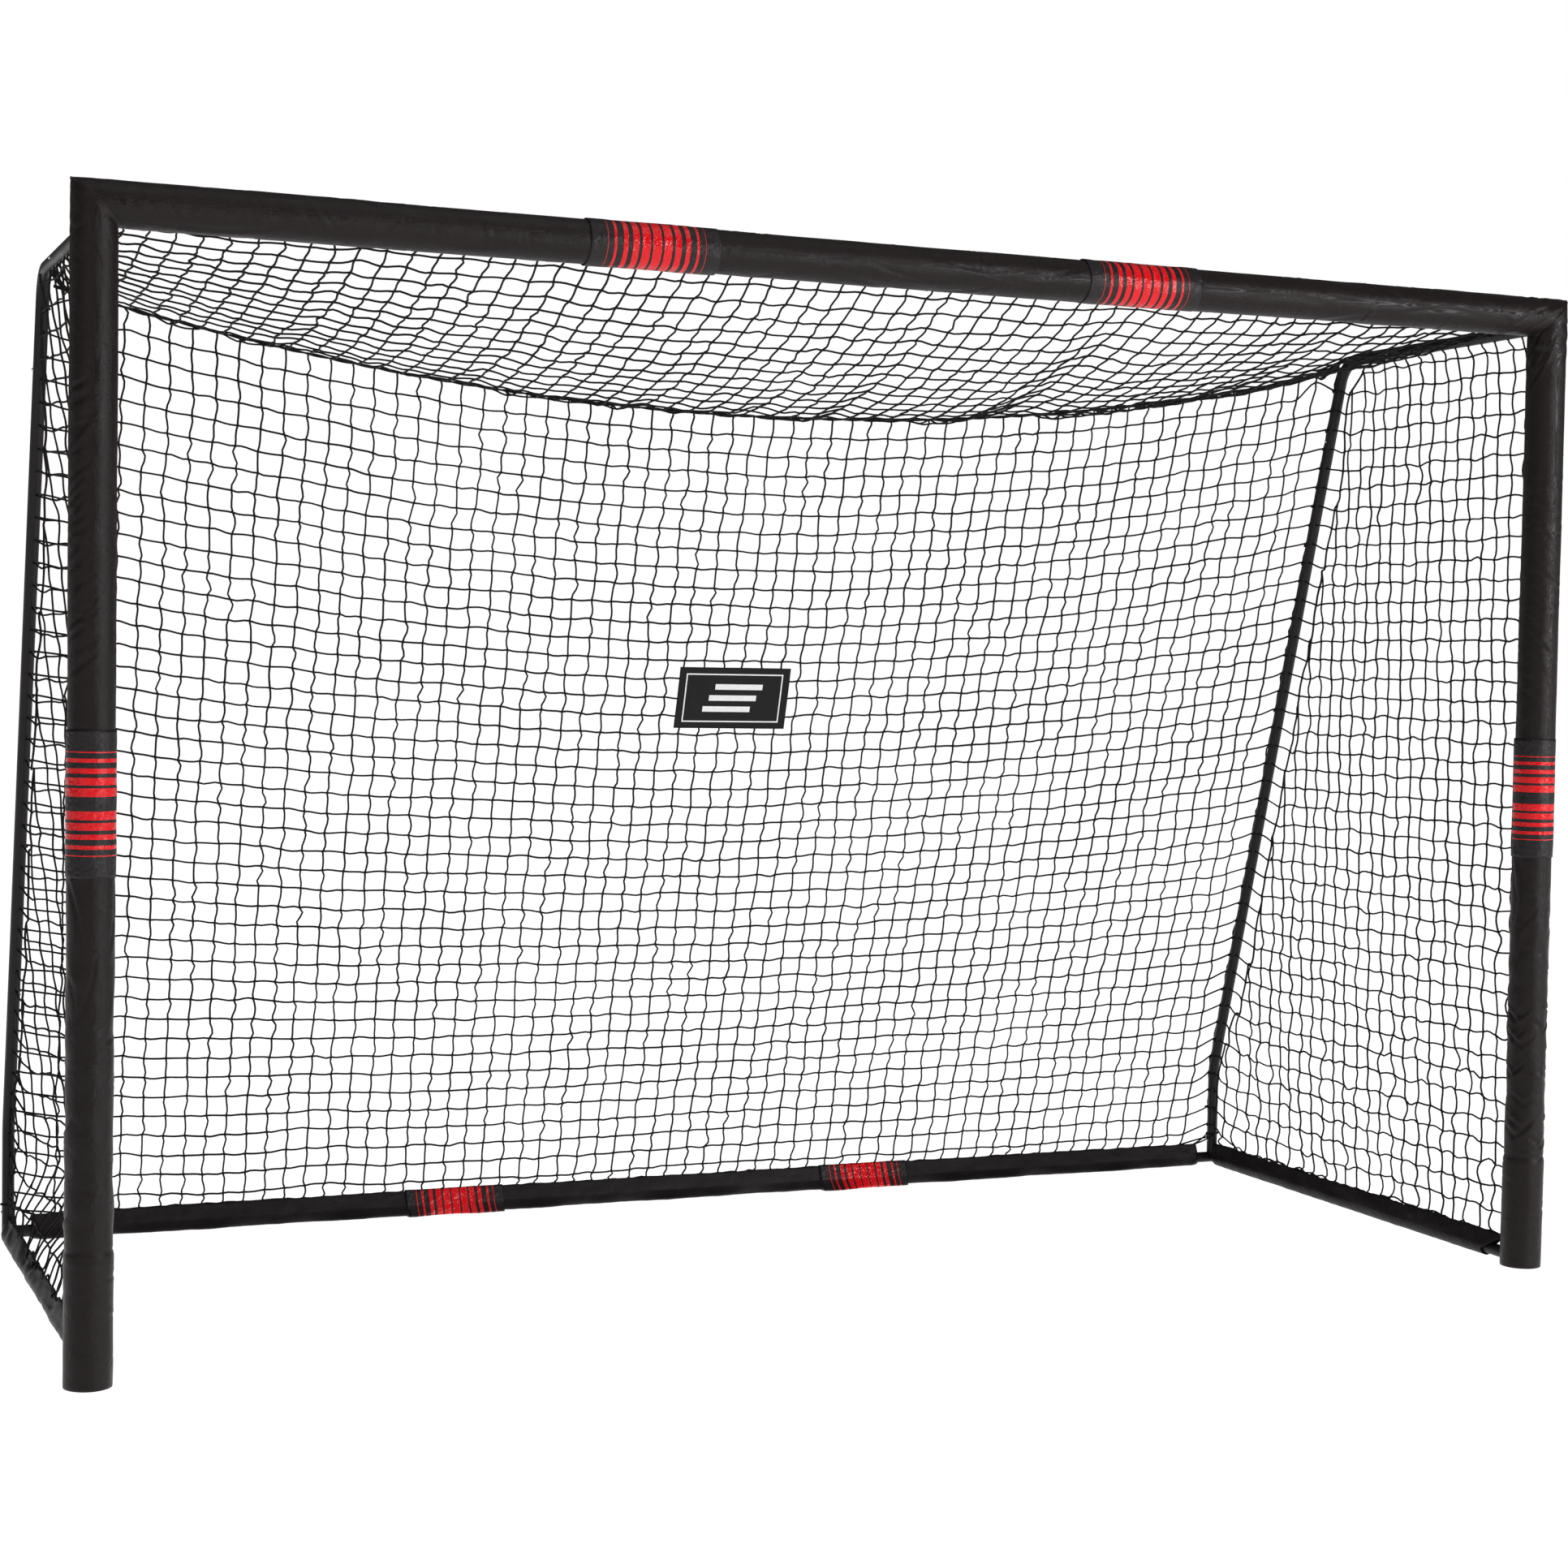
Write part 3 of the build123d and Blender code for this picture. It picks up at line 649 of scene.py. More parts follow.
def relax(points, fixed, edges, lengths, pull, rounds=22):
    """Settles a net under gravity: every cord is a string of the given length, which can be slack."""
    p, last = points.copy(), points.copy()
    i, j = edges[:, 0], edges[:, 1]
    n = len(p)
    degree = np.maximum(np.bincount(i, minlength=n) + np.bincount(j, minlength=n), 1).astype(float)
    move_i = np.where(fixed[i], 0.0, np.where(fixed[j], 1.0, 0.5))
    move_j = np.where(fixed[j], 0.0, np.where(fixed[i], 1.0, 0.5))
    damping, gain = 0.90, 1.5
    for _ in range(SETTLE_STEPS):
        now = p + (p - last) * damping + pull
        now[fixed] = points[fixed]
        last, p = p, now
        for _ in range(rounds):
            d = p[j] - p[i]
            far = np.sqrt((d * d).sum(1))
            over = np.maximum(far - lengths, 0) / np.maximum(far, 1e-9)
            push = d * over[:, None]
            for axis in range(3):
                change = np.bincount(i, push[:, axis] * move_i, n)
                change -= np.bincount(j, push[:, axis] * move_j, n)
                p[:, axis] += gain * change / degree
    return p


def edge_lengths(points, edges):
    return np.linalg.norm(points[edges[:, 0]] - points[edges[:, 1]], axis=1)


def tubes(line_points, radii, reference, sides):
    """Vertices and faces of round cords. line_points is (cords, points, 3), radii (cords, points)."""
    tangent = np.gradient(line_points, axis=1)
    tangent /= np.maximum(np.linalg.norm(tangent, axis=2, keepdims=True), 1e-9)
    u = np.cross(tangent, np.asarray(reference, float))
    u /= np.maximum(np.linalg.norm(u, axis=2, keepdims=True), 1e-9)
    v = np.cross(tangent, u)
    angle = np.arange(sides) / sides * TURN
    outward = np.cos(angle)[:, None] * u[:, :, None] + np.sin(angle)[:, None] * v[:, :, None]
    rings = line_points[:, :, None] + radii[:, :, None, None] * outward
    cords, count = line_points.shape[:2]
    block = ring_faces(count, sides, False)
    faces = np.concatenate([block + k * count * sides for k in range(cords)]).tolist()
    for k in range(cords):
        first, last = k * count * sides, ((k + 1) * count - 1) * sides
        faces.append(list(range(first, first + sides)))
        faces.append(list(range(last, last + sides))[::-1])
    return rings.reshape(-1, 3), faces


def bowed(knots, side_dir, out_dir, bow, skew, out):
    """Line through a cord's knots with a bow in every cell.

    knots is (cords, n, 3). bow is (cords, n-1) sideways, skew how much of it sits near the first knot.
    """
    a, b = knots[:, :-1], knots[:, 1:]
    before = np.concatenate([2 * knots[:, :1] - knots[:, 1:2], knots[:, :-2]], 1)
    after = np.concatenate([knots[:, 2:], 2 * knots[:, -1:] - knots[:, -2:-1]], 1)
    pieces = []
    for k in range(PER_CELL):
        t = k / PER_CELL
        # Catmull-Rom between the knots
        base = 0.5 * (2 * a + (b - before) * t + (2 * before - 5 * a + 4 * b - after) * t * t
                      + (3 * a - before - 3 * b + after) * t ** 3)
        shape = math.sin(math.pi * t)
        offset = bow * shape + skew * math.sin(TURN * t)
        pieces.append(base + offset[..., None] * side_dir + (out * shape)[..., None] * out_dir)
    line = np.stack(pieces, 2).reshape(len(knots), -1, 3)
    return np.concatenate([line, knots[:, -1:]], 1)


class Cords:
    """Collects cords of one net piece and makes one mesh of them."""

    def __init__(self):
        self.points, self.faces, self.count = [], [], 0

    def add(self, line_points, radii, reference, sides=5):
        points, faces = tubes(line_points, radii, reference, sides)
        self.faces += [[v + self.count for v in f] for f in faces]
        self.points.append(points)
        self.count += len(points)

    def add_line(self, line, radius, reference):
        """One cord of even thickness along a line of points."""
        self.add(line[None], np.full((1, len(line)), radius), reference, sides=6)

    def add_knotted(self, knots, side_dir, spreads, reference, means=(0.0, 0.0), thick=1.0, out_dir=Y_DIR):
        """Cords through knots, with a random bow, skew and outward bow in each cell of the given spreads."""
        shape = (len(knots), knots.shape[1] - 1)
        bow = means[0] + spreads[0] * rng.normal(size=shape)
        skew = means[1] + spreads[1] * rng.normal(size=shape)
        line = bowed(knots, side_dir, out_dir, bow, skew, spreads[2] * rng.normal(size=shape))
        shape = line.shape[:2]
        radii = np.full(shape, CORD_R)
        radii[:, ::PER_CELL] *= 1.10  # a knot is a little thicker
        radii *= 1 + 0.10 * smooth_field(shape, (max(2, shape[0] // 2), max(2, shape[1] // 6)))
        self.add(line, radii * thick, reference)

    def build(self, name, *replaced):
        on_frame(new_object(name, np.concatenate(self.points), self.faces, [NET]), "net", *replaced)


def stay_y(z):
    """Y of the stay or leg's centre at a height."""
    slope = (REAR_Y - BEND_Y) / (SIDE_TOP_Z - KINK_Z)
    return np.where(z > KINK_Z, BEND_Y + (SIDE_TOP_Z - z) * slope, REAR_Y)


def head_cord(share):
    """Points of the sagging head cord, share from -1 to 1."""
    radius = (HEAD_HALF ** 2 + HEAD_SAG ** 2) / (2 * HEAD_SAG)
    angle = share * math.asin(HEAD_HALF / radius)
    z = HEAD_ENDS_Z - HEAD_SAG + radius * (1 - np.cos(angle))
    return np.stack([radius * np.sin(angle), np.full_like(angle, HEAD_Y), z], -1)


# rows 0..TOP_ROWS run from the crossbar to the head cord, then on down to the rear sleeve
rows_total = TOP_ROWS + BACK_ROWS + 1
cols_total = COLUMNS + 1
row_at = np.arange(rows_total)
share = np.linspace(-1, 1, cols_total)
front_edge = lay((0, FRONT_Y + PAD_R + 0.0005, BAR_Z - 0.012), (share * (SIDE_X - 0.004), X_DIR))
cord_edge = head_cord(share)
hem_edge = lay((0, REAR_Y, HEM_Z - 0.001), (share * rear_high.x * 0.999, X_DIR))
HANG = 1.9  # how steeply the top net falls away from the crossbar
grid = np.zeros((rows_total, cols_total, 3))
for r in range(rows_total):
    if r <= TOP_ROWS:
        k = r / TOP_ROWS
        grid[r] = front_edge * (1 - k) + cord_edge * k
        grid[r, :, 2] = cord_edge[:, 2] + (front_edge[:, 2] - cord_edge[:, 2]) * (1 - k) ** HANG
    else:
        k = (r - TOP_ROWS) / BACK_ROWS
        grid[r] = cord_edge * (1 - k) + hem_edge * k
# the side edges are tied to the inner side of the top bars and the rear side of the stays
EDGE_CLEAR = 0.002
for c, sign in ((0, -1), (cols_total - 1, 1)):
    for r in range(rows_total):
        if r <= TOP_ROWS:
            y = min(grid[r, c, 1], BEND_Y - 0.045)
            k = max(0.0, (r - TOP_ROWS + 2) / 2)
            grid[r, c] = (sign * (SIDE_X - TUBE_R - EDGE_CLEAR), y + k * 0.05,
                          SIDE_TOP_Z + 0.006 - k * k * 0.010)
        else:
            k = (r - TOP_ROWS) / BACK_ROWS
            z = max(HEAD_ENDS_Z * (1 - k) + HEM_Z * k + 0.003, 0.066)
            grid[r, c] = (sign * (SIDE_X - 0.005), stay_y(z) + TUBE_R + 0.0012, z)
fixed = np.zeros((rows_total, cols_total), bool)
fixed[[0, TOP_ROWS, -1]] = True
fixed[:, [0, -1]] = True

# the top corners of the back net are gathered in a knot on the head cord
GATHERED = ((-3, (0.004, -0.020, 0.012)), (-2, (-0.003, -0.010, 0.008)), (-1, (0.003, -0.004, 0.004)),
            (1, (0.0, 0.003, -0.014)))
for c, sign in ((1, -1), (cols_total - 2, 1)):
    corner = grid[TOP_ROWS, c].copy()
    for r, away in GATHERED:
        grid[TOP_ROWS + r, c] = corner + np.array(away) * (-sign, 1, 1)
        fixed[TOP_ROWS + r, c] = True

index = np.arange(rows_total * cols_total).reshape(rows_total, cols_total)
across = np.stack([index[:, :-1].ravel(), index[:, 1:].ravel()], 1)
down = np.stack([index[:-1].ravel(), index[1:].ravel()], 1)
flat_points = grid.reshape(-1, 3)
near_hem = clamp((row_at - (rows_total - 7)) / 6)[:, None]


def loosened(edge_grid, in_top, in_back, at_hem, uneven):
    """Slack of each cord as a factor on its length, for a grid of cords."""
    rows = len(edge_grid)
    slack = np.where(row_at[:rows] < TOP_ROWS, in_top, in_back)[:, None] + 0 * edge_grid
    slack = slack + at_hem * near_hem[:rows]
    return slack * (1 + uneven * smooth_field(slack.shape, (19, 21)) + 0.02 * rng.uniform(-1, 1, slack.shape))


loose_across = loosened(index[:, :-1], 1.012, 1.004, 0.06, 0.018)
loose_down = loosened(index[:-1], 1.006, 1.008, 0.07, 0.02)
rest = np.concatenate([edge_lengths(flat_points, across) * loose_across.ravel(),
                       edge_lengths(flat_points, down) * loose_down.ravel()])
pull = np.zeros((rows_total, cols_total, 3))
pull[..., 2] = np.where(row_at < TOP_ROWS, -2.5e-5, -0.8e-5)[:, None] - 5e-5 * near_hem
grid = relax(flat_points, fixed.ravel(), np.concatenate([across, down]), rest, pull.reshape(-1, 3))
grid = grid.reshape(rows_total, cols_total, 3)
grid = grid + 0.0010 * rng.normal(size=grid.shape) * ~fixed[..., None]
# the badge is sewn to the inside of the back net, so the cords behind it are pushed back
badge_low, badge_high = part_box("net_patch")
badge_centre = (badge_low + badge_high) / 2
badge_y = np.interp(grid[..., 2], [badge_low.z, badge_high.z], [badge_high.y, badge_low.y]) + 0.007
margin = 0.03
behind = ((abs(grid[..., 0] - badge_centre.x) < (badge_high.x - badge_low.x) / 2 + margin)
          & (abs(grid[..., 2] - badge_centre.z) < (badge_high.z - badge_low.z) / 2 + margin)
          & (row_at > TOP_ROWS)[:, None])
grid[..., 1] = np.where(behind, np.maximum(grid[..., 1], badge_y), grid[..., 1])


def net_rows(cords, block, amplitude):
    """Cords along each row of a block of knots."""
    cords.add_knotted(block, np.array([0, 0.25, 0.97]), (amplitude, 0.6 * amplitude, amplitude), (0, 1, 0.1),
                      means=(-0.0004, 0.0))


def net_columns(cords, block, amplitude, bias):
    """Cords down each column of a block of knots, most of them bowed one way."""
    cords.add_knotted(np.swapaxes(block, 0, 1), X_DIR,
                      (amplitude * (1 - bias), 0.55 * amplitude, 0.6 * amplitude), (1, 0, 0.05),
                      means=(amplitude * bias, 0.5 * amplitude * bias))


cords = Cords()
net_rows(cords, grid[:TOP_ROWS], 0.0014)
net_columns(cords, grid[:TOP_ROWS + 1], 0.0028, 0.3)
cords.build("net_top_mesh", "net_top")
cords = Cords()
net_columns(cords, grid[TOP_ROWS:], 0.0030, 0.4)
cords.build("net_back_columns", "net_back")
cords = Cords()
net_rows(cords, grid[TOP_ROWS + 1:], 0.0011)
cords.build("net_back_rows", "net_back")

# head cord: two cords laid round each other
cords = Cords()
fine = np.linspace(-1, 1, 520)
core = head_cord(fine)
twist = fine * 90.0
STRAND_R, LAY_R = 0.0018, 0.0016
for phase in (0, math.pi):
    ring = np.stack([np.zeros_like(fine), np.cos(twist + phase), np.sin(twist + phase)], -1) * LAY_R
    cords.add_line(core + ring, STRAND_R, (0, 1, 0))
cords.build("net_head_cord_twist", "net_head_cord")


# ties: a knot on the head cord lashed to each bend, and cords from the rear sleeve to each leg
def loop_points(centre, first, second, radii, count, turns, drift, start):
    """Points of a loop or coil, from its centre, two directions and its drift along the way."""
    a = np.linspace(0, 1, count)
    angle = start + a * turns * TURN
    return lay(centre, (radii[0] * np.cos(angle), first), (radii[1] * np.sin(angle), second), (a, drift))


def hung(start, end, count, sag):
    """Points of a short cord that sags between two ends."""
    t = np.linspace(0, 1, count)[:, None]
    return start * (1 - t) + end * t - sag * Z_DIR * np.sin(math.pi * t)


cords = Cords()
for c, sign in ((1, -1), (cols_total - 2, 1)):
    corner = grid[TOP_ROWS, c]
    bend = np.array([sign * SIDE_X, BEND_Y - 0.006, SIDE_TOP_Z])
    for k in range(4):
        centre = corner + np.array([sign * 0.003 * k, 0, 0.002 * k])
        knot = loop_points(centre, (0.5, 0.2, 0.84), (0, 1, -0.2), (0.0065 - 0.0008 * k, 0.0055), 26, 1.1,
                           (sign * 0.004, 0.001, 0.001), rng.uniform(0, 6))
        cords.add_line(knot, 0.0019, (1, 0.1, 0.3))
    for k in range(3):
        from_knot = corner + np.array([sign * 0.006, 0.002 * (k - 1), 0.006 * (k - 1)])
        lash = bend + np.array([-sign * (TUBE_R + 0.0012), 0.004 - 0.010 * k, 0.005 * (k - 1)])
        cords.add_line(hung(from_knot, lash, 14, 0.006 * (1 + 0.5 * k)), 0.0021, (0, 1, 0.1))
    steps = [[0, 0, 0]] + [[sign * 0.0015, -0.003, -0.004 + 0.0012 * j] for j in range(7)]
    cords.add_line(corner + np.cumsum(np.array(steps), 0), 0.0018, X_DIR)
    sleeve_corner = np.array([sign * rear_high.x * 0.995, REAR_Y, HEM_Z - 0.002])
    leg = np.array([sign * SIDE_X, REAR_Y, HEM_Z + 0.022])
    for k in (-1, 1):
        leg_side = leg + np.array([-sign * 0.004, k * (TUBE_R + 0.001), 0])
        cords.add_line(hung(sleeve_corner, leg_side, 10, 0.003), CORD_R, (0, 1, 0.1))
    ring = loop_points(leg, X_DIR, Y_DIR, (TUBE_R + 0.002,) * 2, 30, 1.0, (0, 0, 0.004), 1.0)
    cords.add_line(ring, CORD_R, Z_DIR)
cords.build("net_corner_ties")


# ---- side nets ----

SIDE_ROWS, SIDE_COLUMNS = 44, 30
HOLLOW = {-1: 0.105, 1: 0.012}  # how far each side net hangs into the goal
ROW, COLUMN, BORDER = 0, 1, 2
SIDE_SLACK = np.array([1.022, 1.02, 1.006])


def side_net(name, sign):
    """Square mesh behind a post, cut along the stay by an edge cord, with short cords to the back net."""
    plane_x = sign * (SIDE_X + TUBE_R + 0.0015)
    front = FRONT_Y + PAD_R * 0.93
    row_z = np.linspace(SIDE_TOP_Z - TUBE_R - 0.017, HEM_Z - 0.001, SIDE_ROWS)

    def inward(y, z):
        """How far the slack net hangs into the goal between the post and the stay."""
        run = stay_y(z) - front
        rise = clamp((SIDE_TOP_Z - z) / 0.45) ** 0.7 * clamp((z - 0.12) / 0.11)
        return (-sign * HOLLOW[sign] * np.sqrt(run / 1.15) * rise
                * np.sin(math.pi * clamp((y - front) / run) ** 1.5))

    def border_y(z):
        """Y of the edge cord at a height, closer to the stay near the ground and near the bend."""
        gap = 0.056 * np.clip((z - 0.20) / 0.25, 0.30, 1) * (1 - 0.6 * clamp((z - 1.70) / 0.16))
        return stay_y(z) - gap - 0.055 * clamp((z - 1.86) / 0.062) ** 2

    sampled_z = np.linspace(0.25, SIDE_TOP_Z - TUBE_R - 0.006, 400)
    sampled_y = border_y(sampled_z)
    columns_y = front + 0.030 + CELL * np.arange(0, SIDE_COLUMNS)
    points, held = [], []

    def add(x, y, z, is_held):
        points.append((x, y, z))
        held.append(is_held)
        return len(points) - 1

    row_lines, column_lines = [], {}
    border_nodes = []
    for r, z in enumerate(row_z):
        hem = r == len(row_z) - 1
        blend = clamp((0.35 - z) / 0.3)
        x = sign * SIDE_X if hem else plane_x * (1 - blend) + sign * SIDE_X * blend
        line = [] if hem else [add(sign * (SIDE_X + 0.002), front, z - 0.009, True)]
        limit = float(border_y(z))
        last_y = REAR_Y - 0.036 if hem else limit - 0.3 * CELL
        for c, y in enumerate(columns_y[columns_y <= last_y]):
            line.append(add(x, y, z, hem))
            column_lines.setdefault(c, []).append(line[-1])
        if not hem:
            line.append(add(x, limit, z, False))
            border_nodes.append(line[-1])
            # round the inner side of the tube to the back net
            y_tube = float(stay_y(z))
            if z < SIDE_TOP_Z - 0.05:
                line.append(add(sign * (SIDE_X - 0.004), y_tube - TUBE_R - 0.0016, z + 0.004, True))
                line.append(add(sign * (SIDE_X - TUBE_R - 0.0018), y_tube + 0.001, z + 0.004, True))
                line.append(add(sign * (SIDE_X - 0.005), y_tube + TUBE_R + 0.0012, z + 0.003, True))
        row_lines.append(line)
    # column tops: tied under the top bar, or to the edge cord where the stay cuts them off
    for line in column_lines.values():
        _, top_y, top_z = points[line[0]]
        if top_z > SIDE_TOP_Z - TUBE_R - 0.03:
            line.insert(0, add(sign * SIDE_X, top_y, SIDE_TOP_Z - TUBE_R - 0.0016, True))
            line.insert(0, add(sign * (SIDE_X - TUBE_R - 0.0016), top_y, SIDE_TOP_Z, True))
        else:
            z_cut = float(np.interp(top_y, sampled_y[::-1], sampled_z[::-1]))
            if top_y < sampled_y[0] and z_cut - top_z > 0.2 * CELL:
                line.insert(0, add(plane_x, top_y, z_cut, False))
                border_nodes.append(line[0])
    border_nodes.sort(key=lambda k: -points[k][2])
    border_nodes.insert(0, add(plane_x, BEND_Y - 0.060, SIDE_TOP_Z - TUBE_R - 0.002, True))
    border_nodes.append(add(sign * SIDE_X, REAR_Y - 0.017, HEM_Z - 0.001, True))
    pairs, kinds = [], []
    for kind, lines in ((ROW, row_lines), (COLUMN, column_lines.values()), (BORDER, [border_nodes])):
        for line in lines:
            pairs += zip(line, line[1:])
            kinds += [kind] * (len(line) - 1)
    p, held, edges, kinds = np.array(points, float), np.array(held), np.array(pairs), np.array(kinds)
    p[:, 0] += inward(p[:, 1], p[:, 2]) * ~held
    middle_z = (p[edges[:, 0], 2] + p[edges[:, 1], 2]) / 2
    slack = SIDE_SLACK[kinds] + 0.07 * clamp((0.65 - middle_z) / 0.6) * (kinds != BORDER)
    slack = slack * (1 + 0.03 * rng.uniform(-1, 1, len(edges)))
    drop = -1.2e-5 - 9e-5 * clamp((0.55 - p[:, 2:]) / 0.4)
    p = relax(p, held, edges, edge_lengths(p, edges) * slack, drop * np.array([0, 0.5, 1]))
    p = p + 0.0016 * rng.normal(size=p.shape) * (~held)[:, None]
    cords = Cords()
    out = sign * X_DIR
    for line in row_lines:
        knots = p[line][None]
        loose = 0.0016 + 0.0018 * clamp((0.7 - knots[0, 0, 2]) / 0.6)
        cords.add_knotted(knots, Z_DIR, (loose, 0.5 * loose, 0.8 * loose), (1, 0, 0), out_dir=out)
    for line in column_lines.values():
        knots = p[line][None]
        loose = 0.0026 + 0.0026 * clamp((1.0 - knots[:, :-1, 2]) / 0.8)
        cords.add_knotted(knots, Y_DIR, (loose, 0.4 * loose, 0.5 * loose), (1, 0.02, 0), out_dir=out)
    cords.add_knotted(p[border_nodes][None], Y_DIR, (0.0012, 0.0006, 0.0008), (1, 0.02, 0),
                      thick=1.15, out_dir=out)
    cords.build("net_mesh_" + name, "net_" + name)


for name, sign in SIDES:
    side_net(name, sign)


# ---- badge ----

def marked_fabric(name, centre, wide, tall):
    """Badge fabric with a plain printed frame line and three bars, all generic."""
    look = coated_fabric(name, (0.0050, 0.0042, 0.0044), (0.0090, 0.0075, 0.0078), 0.55, 0.0008)
    parts = look.axes()

    def box(half_x, half_z, x=0.0, z=0.0):
        """1 inside a rectangle at an offset from the badge's centre, 0 outside."""
        return look.calc("MULTIPLY", look.calc("COMPARE", parts["X"], centre.x + x, half_x),
                         look.calc("COMPARE", parts["Z"], centre.z + z, half_z))

    border, line = 0.016, 0.0028
    half_x, half_z = wide / 2 - border, tall / 2 - border
    mask = look.calc("SUBTRACT", box(half_x, half_z), box(half_x - line, half_z - line))
    for k in (-1, 0, 1):
        mask = look.calc("MAXIMUM", mask, box(0.055, 0.006, 0.012 * k, 0.024 * k))
    fabric = look.shader["Base Color"].links[0].from_socket
    printed = look.mix(look.noise(90.0, 5), (0.62, 0.62, 0.62), (0.80, 0.80, 0.80))
    look.colour(look.mix(mask, fabric, printed))
    return look.material


def badge():
    run, rise = badge_high.y - badge_low.y, badge_high.z - badge_low.z
    wide, tall, wall = badge_high.x - badge_low.x, math.hypot(run - 0.0005, rise), 0.0014
    lean = math.atan2(run, rise)
    up = Vector((0, -math.sin(lean), math.cos(lean)))
    face = Vector((0, -math.cos(lean), -math.sin(lean)))
    rows, cols = 30, 56
    u = np.linspace(-0.5, 0.5, cols)[None, :]
    v = np.linspace(-0.5, 0.5, rows)[:, None]
    bulge = 0.0016 * smooth_field((rows, cols), (3, 4)) + 0.0004 * smooth_field((rows, cols), (9, 14))
    inset = np.minimum((0.5 - abs(u)) * wide, (0.5 - abs(v)) * tall)
    # a stitched hem round the edge
    bulge = bulge - 0.0007 * np.exp(-((inset - 0.007) / 0.0022) ** 2) + 0.0005 * (inset < 0.006)

    def place(extra):
        return lay(badge_centre, (u * wide + 0 * v, X_DIR), (v * tall + 0 * u, up), (extra, face))
    points, faces = closed_sheet(place(bulge + wall / 2), place(bulge - wall / 2))
    on_back = np.ones(len(faces), int)
    on_back[:(rows - 1) * 2 * cols] = np.tile(np.arange(2 * cols) >= cols - 1, rows - 1)
    surfaces = [marked_fabric("badge_fabric", badge_centre, wide, tall), SLEEVE]
    obj = on_frame(new_object("net_patch_badge", points, faces, surfaces, on_back), "bar_sleeve", "net_patch")


badge()


# ---- CAD nodes that stay ----

FINISHES = ((("connector", "tube", "side_top_bar", "rear_elbow", "rear_stay", "ground_corner"), STEEL),
            (("snap_button", "snap_springs"), ZINC), (("foot_plugs",), PLASTIC))
for node_name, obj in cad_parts.items():
    for words, finish in FINISHES:
        if any(word in node_name for word in words):
            obj.data.materials.clear()
            obj.data.materials.append(finish)
    obj.data.polygons.foreach_set("use_smooth", np.full(len(obj.data.polygons), True))
    obj.data.set_sharp_from_angle(angle=SHARP_EDGE)


def v_springs():
    """One piece for each V spring, made of the spring points nearest each button."""
    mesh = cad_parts["snap_springs"].data
    split = np.round([vertex.co for vertex in mesh.vertices], 6)
    points, welded = np.unique(split, axis=0, return_inverse=True)
    welded = welded.reshape(-1)
    buttons = sorted(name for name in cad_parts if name.startswith("snap_button"))
    centres = np.array([middle(name) for name in buttons])
    nearest = np.linalg.norm(points[:, None] - centres, axis=2).argmin(1)
    for index, button in enumerate(buttons):
        own = np.flatnonzero(nearest == index)
        renumbered = np.full(len(points), -1)
        renumbered[own] = np.arange(len(own))
        faces = [renumbered[welded[list(face.vertices)]].tolist() for face in mesh.polygons]
        faces = [face for face in faces if min(face) >= 0]
        obj = new_object(button.replace("snap_button", "v_spring"), points[own], faces, [ZINC])
        obj.data.set_sharp_from_angle(angle=SHARP_EDGE)
        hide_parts("snap_springs")
        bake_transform(obj)


v_springs()


# ---- floor, light and camera ----

def floor():
    reach = 30.0
    look = Look("pale_floor", (0.35, 0.35, 0.35), 0.75, specular=0.1)
    look.colour(look.mix(look.noise(1.4, 5), (0.32, 0.32, 0.32), (0.37, 0.37, 0.365)))
    look.shader["Emission Color"].default_value = (1, 1, 1, 1)
    look.shader["Emission Strength"].default_value = 1.0
    corners = [(-reach, -reach, 0), (reach, -reach, 0), (reach, reach, 0), (-reach, reach, 0)]
    obj = new_object("floor", corners, [(0, 1, 2, 3)], [look.material])
    obj.location = (0, 0, -0.0005)


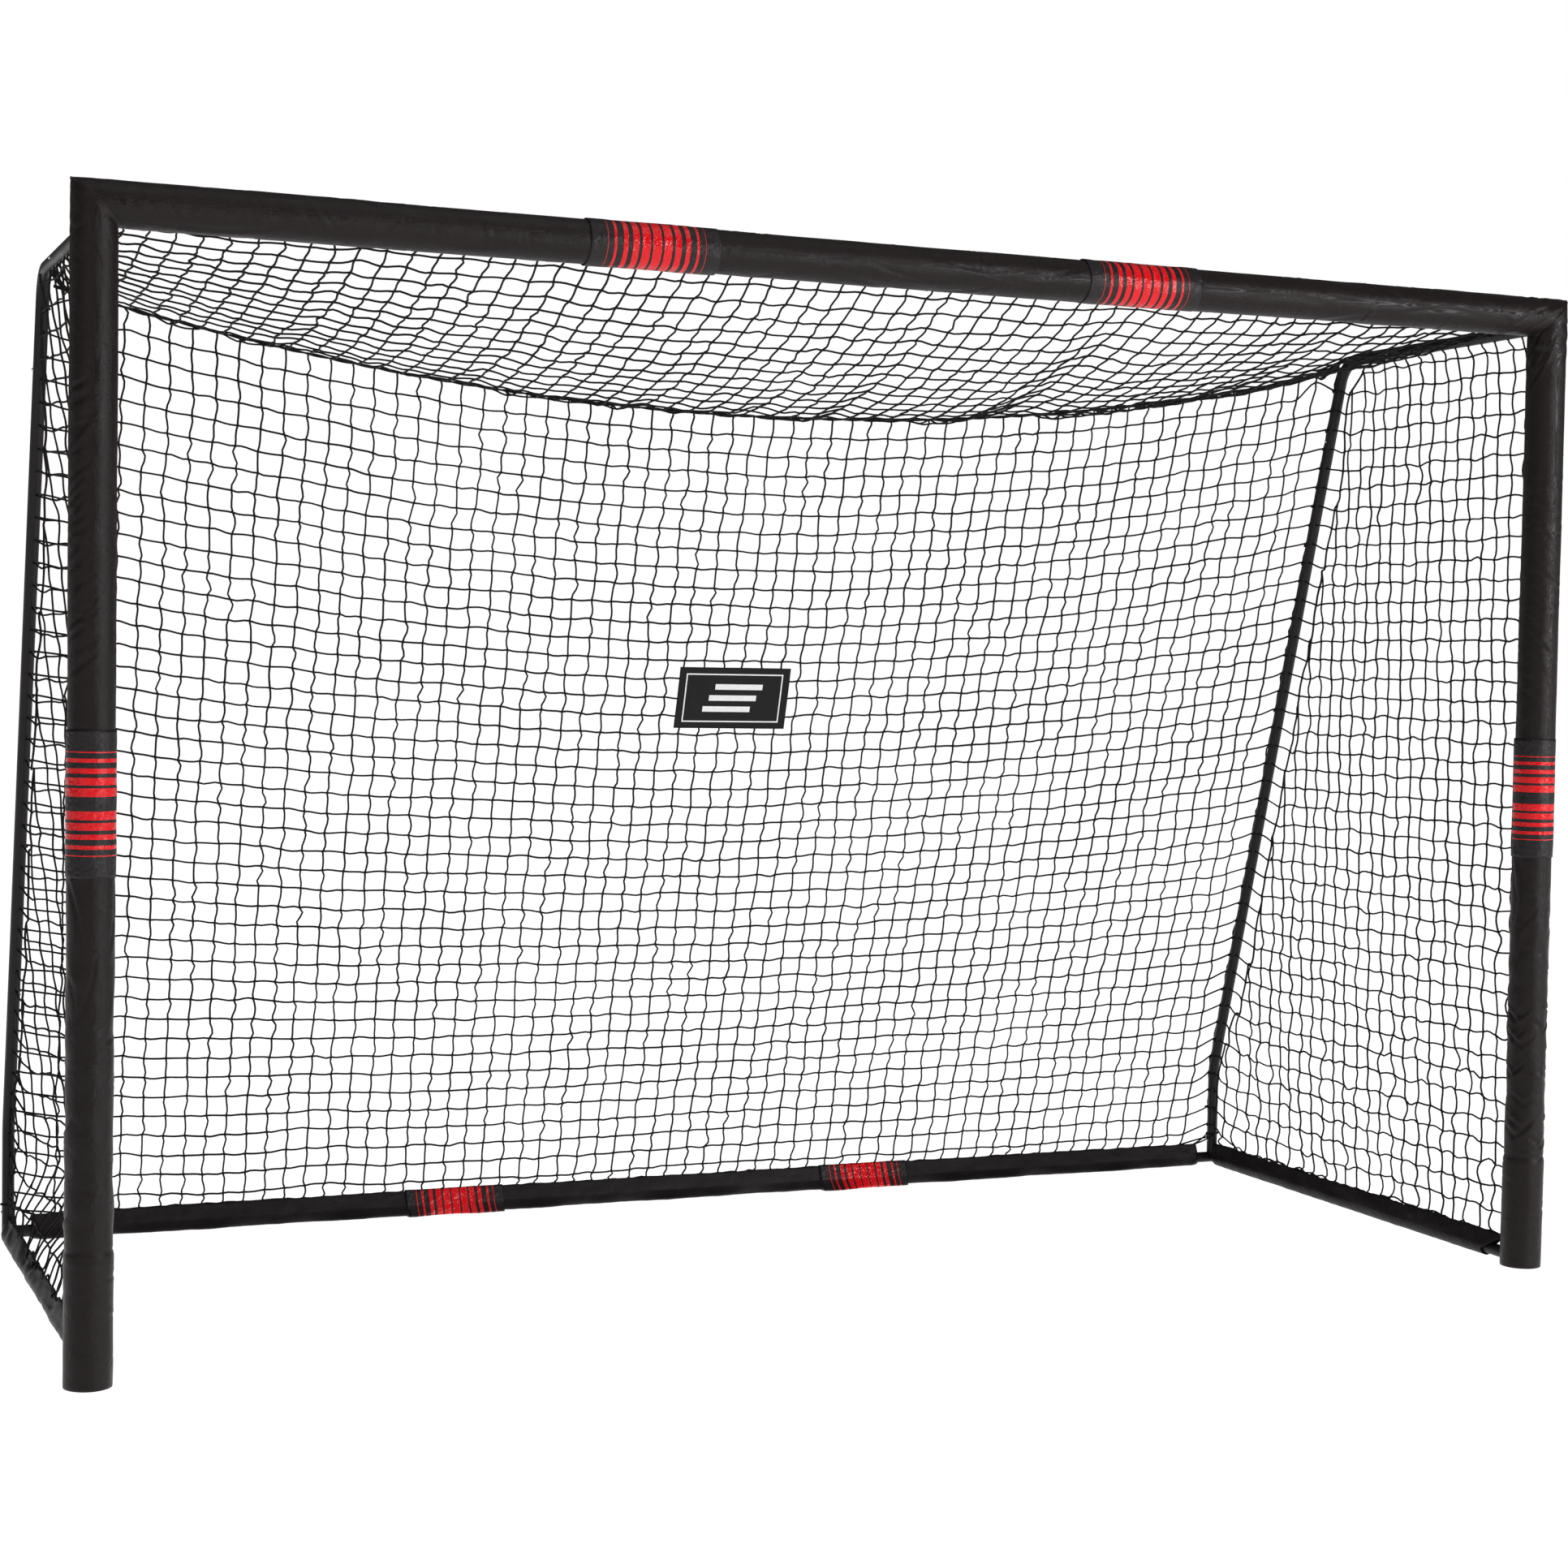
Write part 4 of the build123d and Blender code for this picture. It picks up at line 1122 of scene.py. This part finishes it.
def lamp(name, at, target, watts, wide, highlights=True):
    light = bpy.data.lights.new(name, "AREA")
    light.energy, light.size = watts, wide
    obj = bpy.data.objects.new(name, light)
    bpy.context.scene.collection.objects.link(obj)
    obj.location = at
    obj.rotation_euler = (Vector(target) - Vector(at)).to_track_quat("-Z", "Y").to_euler()
    obj.visible_glossy = highlights


floor()
# the camera sees a white backdrop, while the room lights the goal faintly
world = bpy.data.worlds.new("studio")
bpy.context.scene.world = world
world.use_nodes = True
nodes, links = world.node_tree.nodes, world.node_tree.links
backdrop, room = nodes["Background"], nodes.new("ShaderNodeBackground")
for background, colour, strength in ((backdrop, (1, 1, 1, 1), 1.0), (room, (1, 0.98, 0.97, 1), 0.12)):
    background.inputs["Color"].default_value = colour
    background.inputs["Strength"].default_value = strength
either = nodes.new("ShaderNodeMixShader")
links.new(nodes.new("ShaderNodeLightPath").outputs["Is Camera Ray"], either.inputs[0])
links.new(room.outputs[0], either.inputs[1])
links.new(backdrop.outputs[0], either.inputs[2])
links.new(either.outputs[0], nodes["World Output"].inputs["Surface"])
lamp("key", (5.6, -7.6, 2.7), (0, -0.2, 1.0), 520, 2.2)
lamp("fill", (-6.0, -6.5, 3.4), (0, 0, 1.0), 60, 2.4)
lamp("overhead", (0, -2.0, 6.5), (0, 0, 0), 70, 4.0)
lamp("rear", (-3.0, 8.5, 2.0), (0, 0, 1.0), 110, 2.6, highlights=False)
bpy.context.scene.view_settings.view_transform = "Standard"

AZIMUTH, ELEVATION, ROLL = math.radians(-22.623), math.radians(2.505), math.radians(0.967)
CAMERA_AT = (-2.123, -5.156, 1.222)
camera_data = bpy.data.cameras.new("camera")
camera_data.lens, camera_data.sensor_width = 62.18, 36.0
camera = bpy.data.objects.new("camera", camera_data)
bpy.context.scene.collection.objects.link(camera)
bpy.context.scene.camera = camera
aimed = Matrix.Rotation(AZIMUTH, 4, "Z") @ Matrix.Rotation(math.pi / 2 - ELEVATION, 4, "X")
camera.matrix_world = Matrix.Translation(CAMERA_AT) @ aimed @ Matrix.Rotation(ROLL, 4, "Z")

bpy.context.view_layer.update()
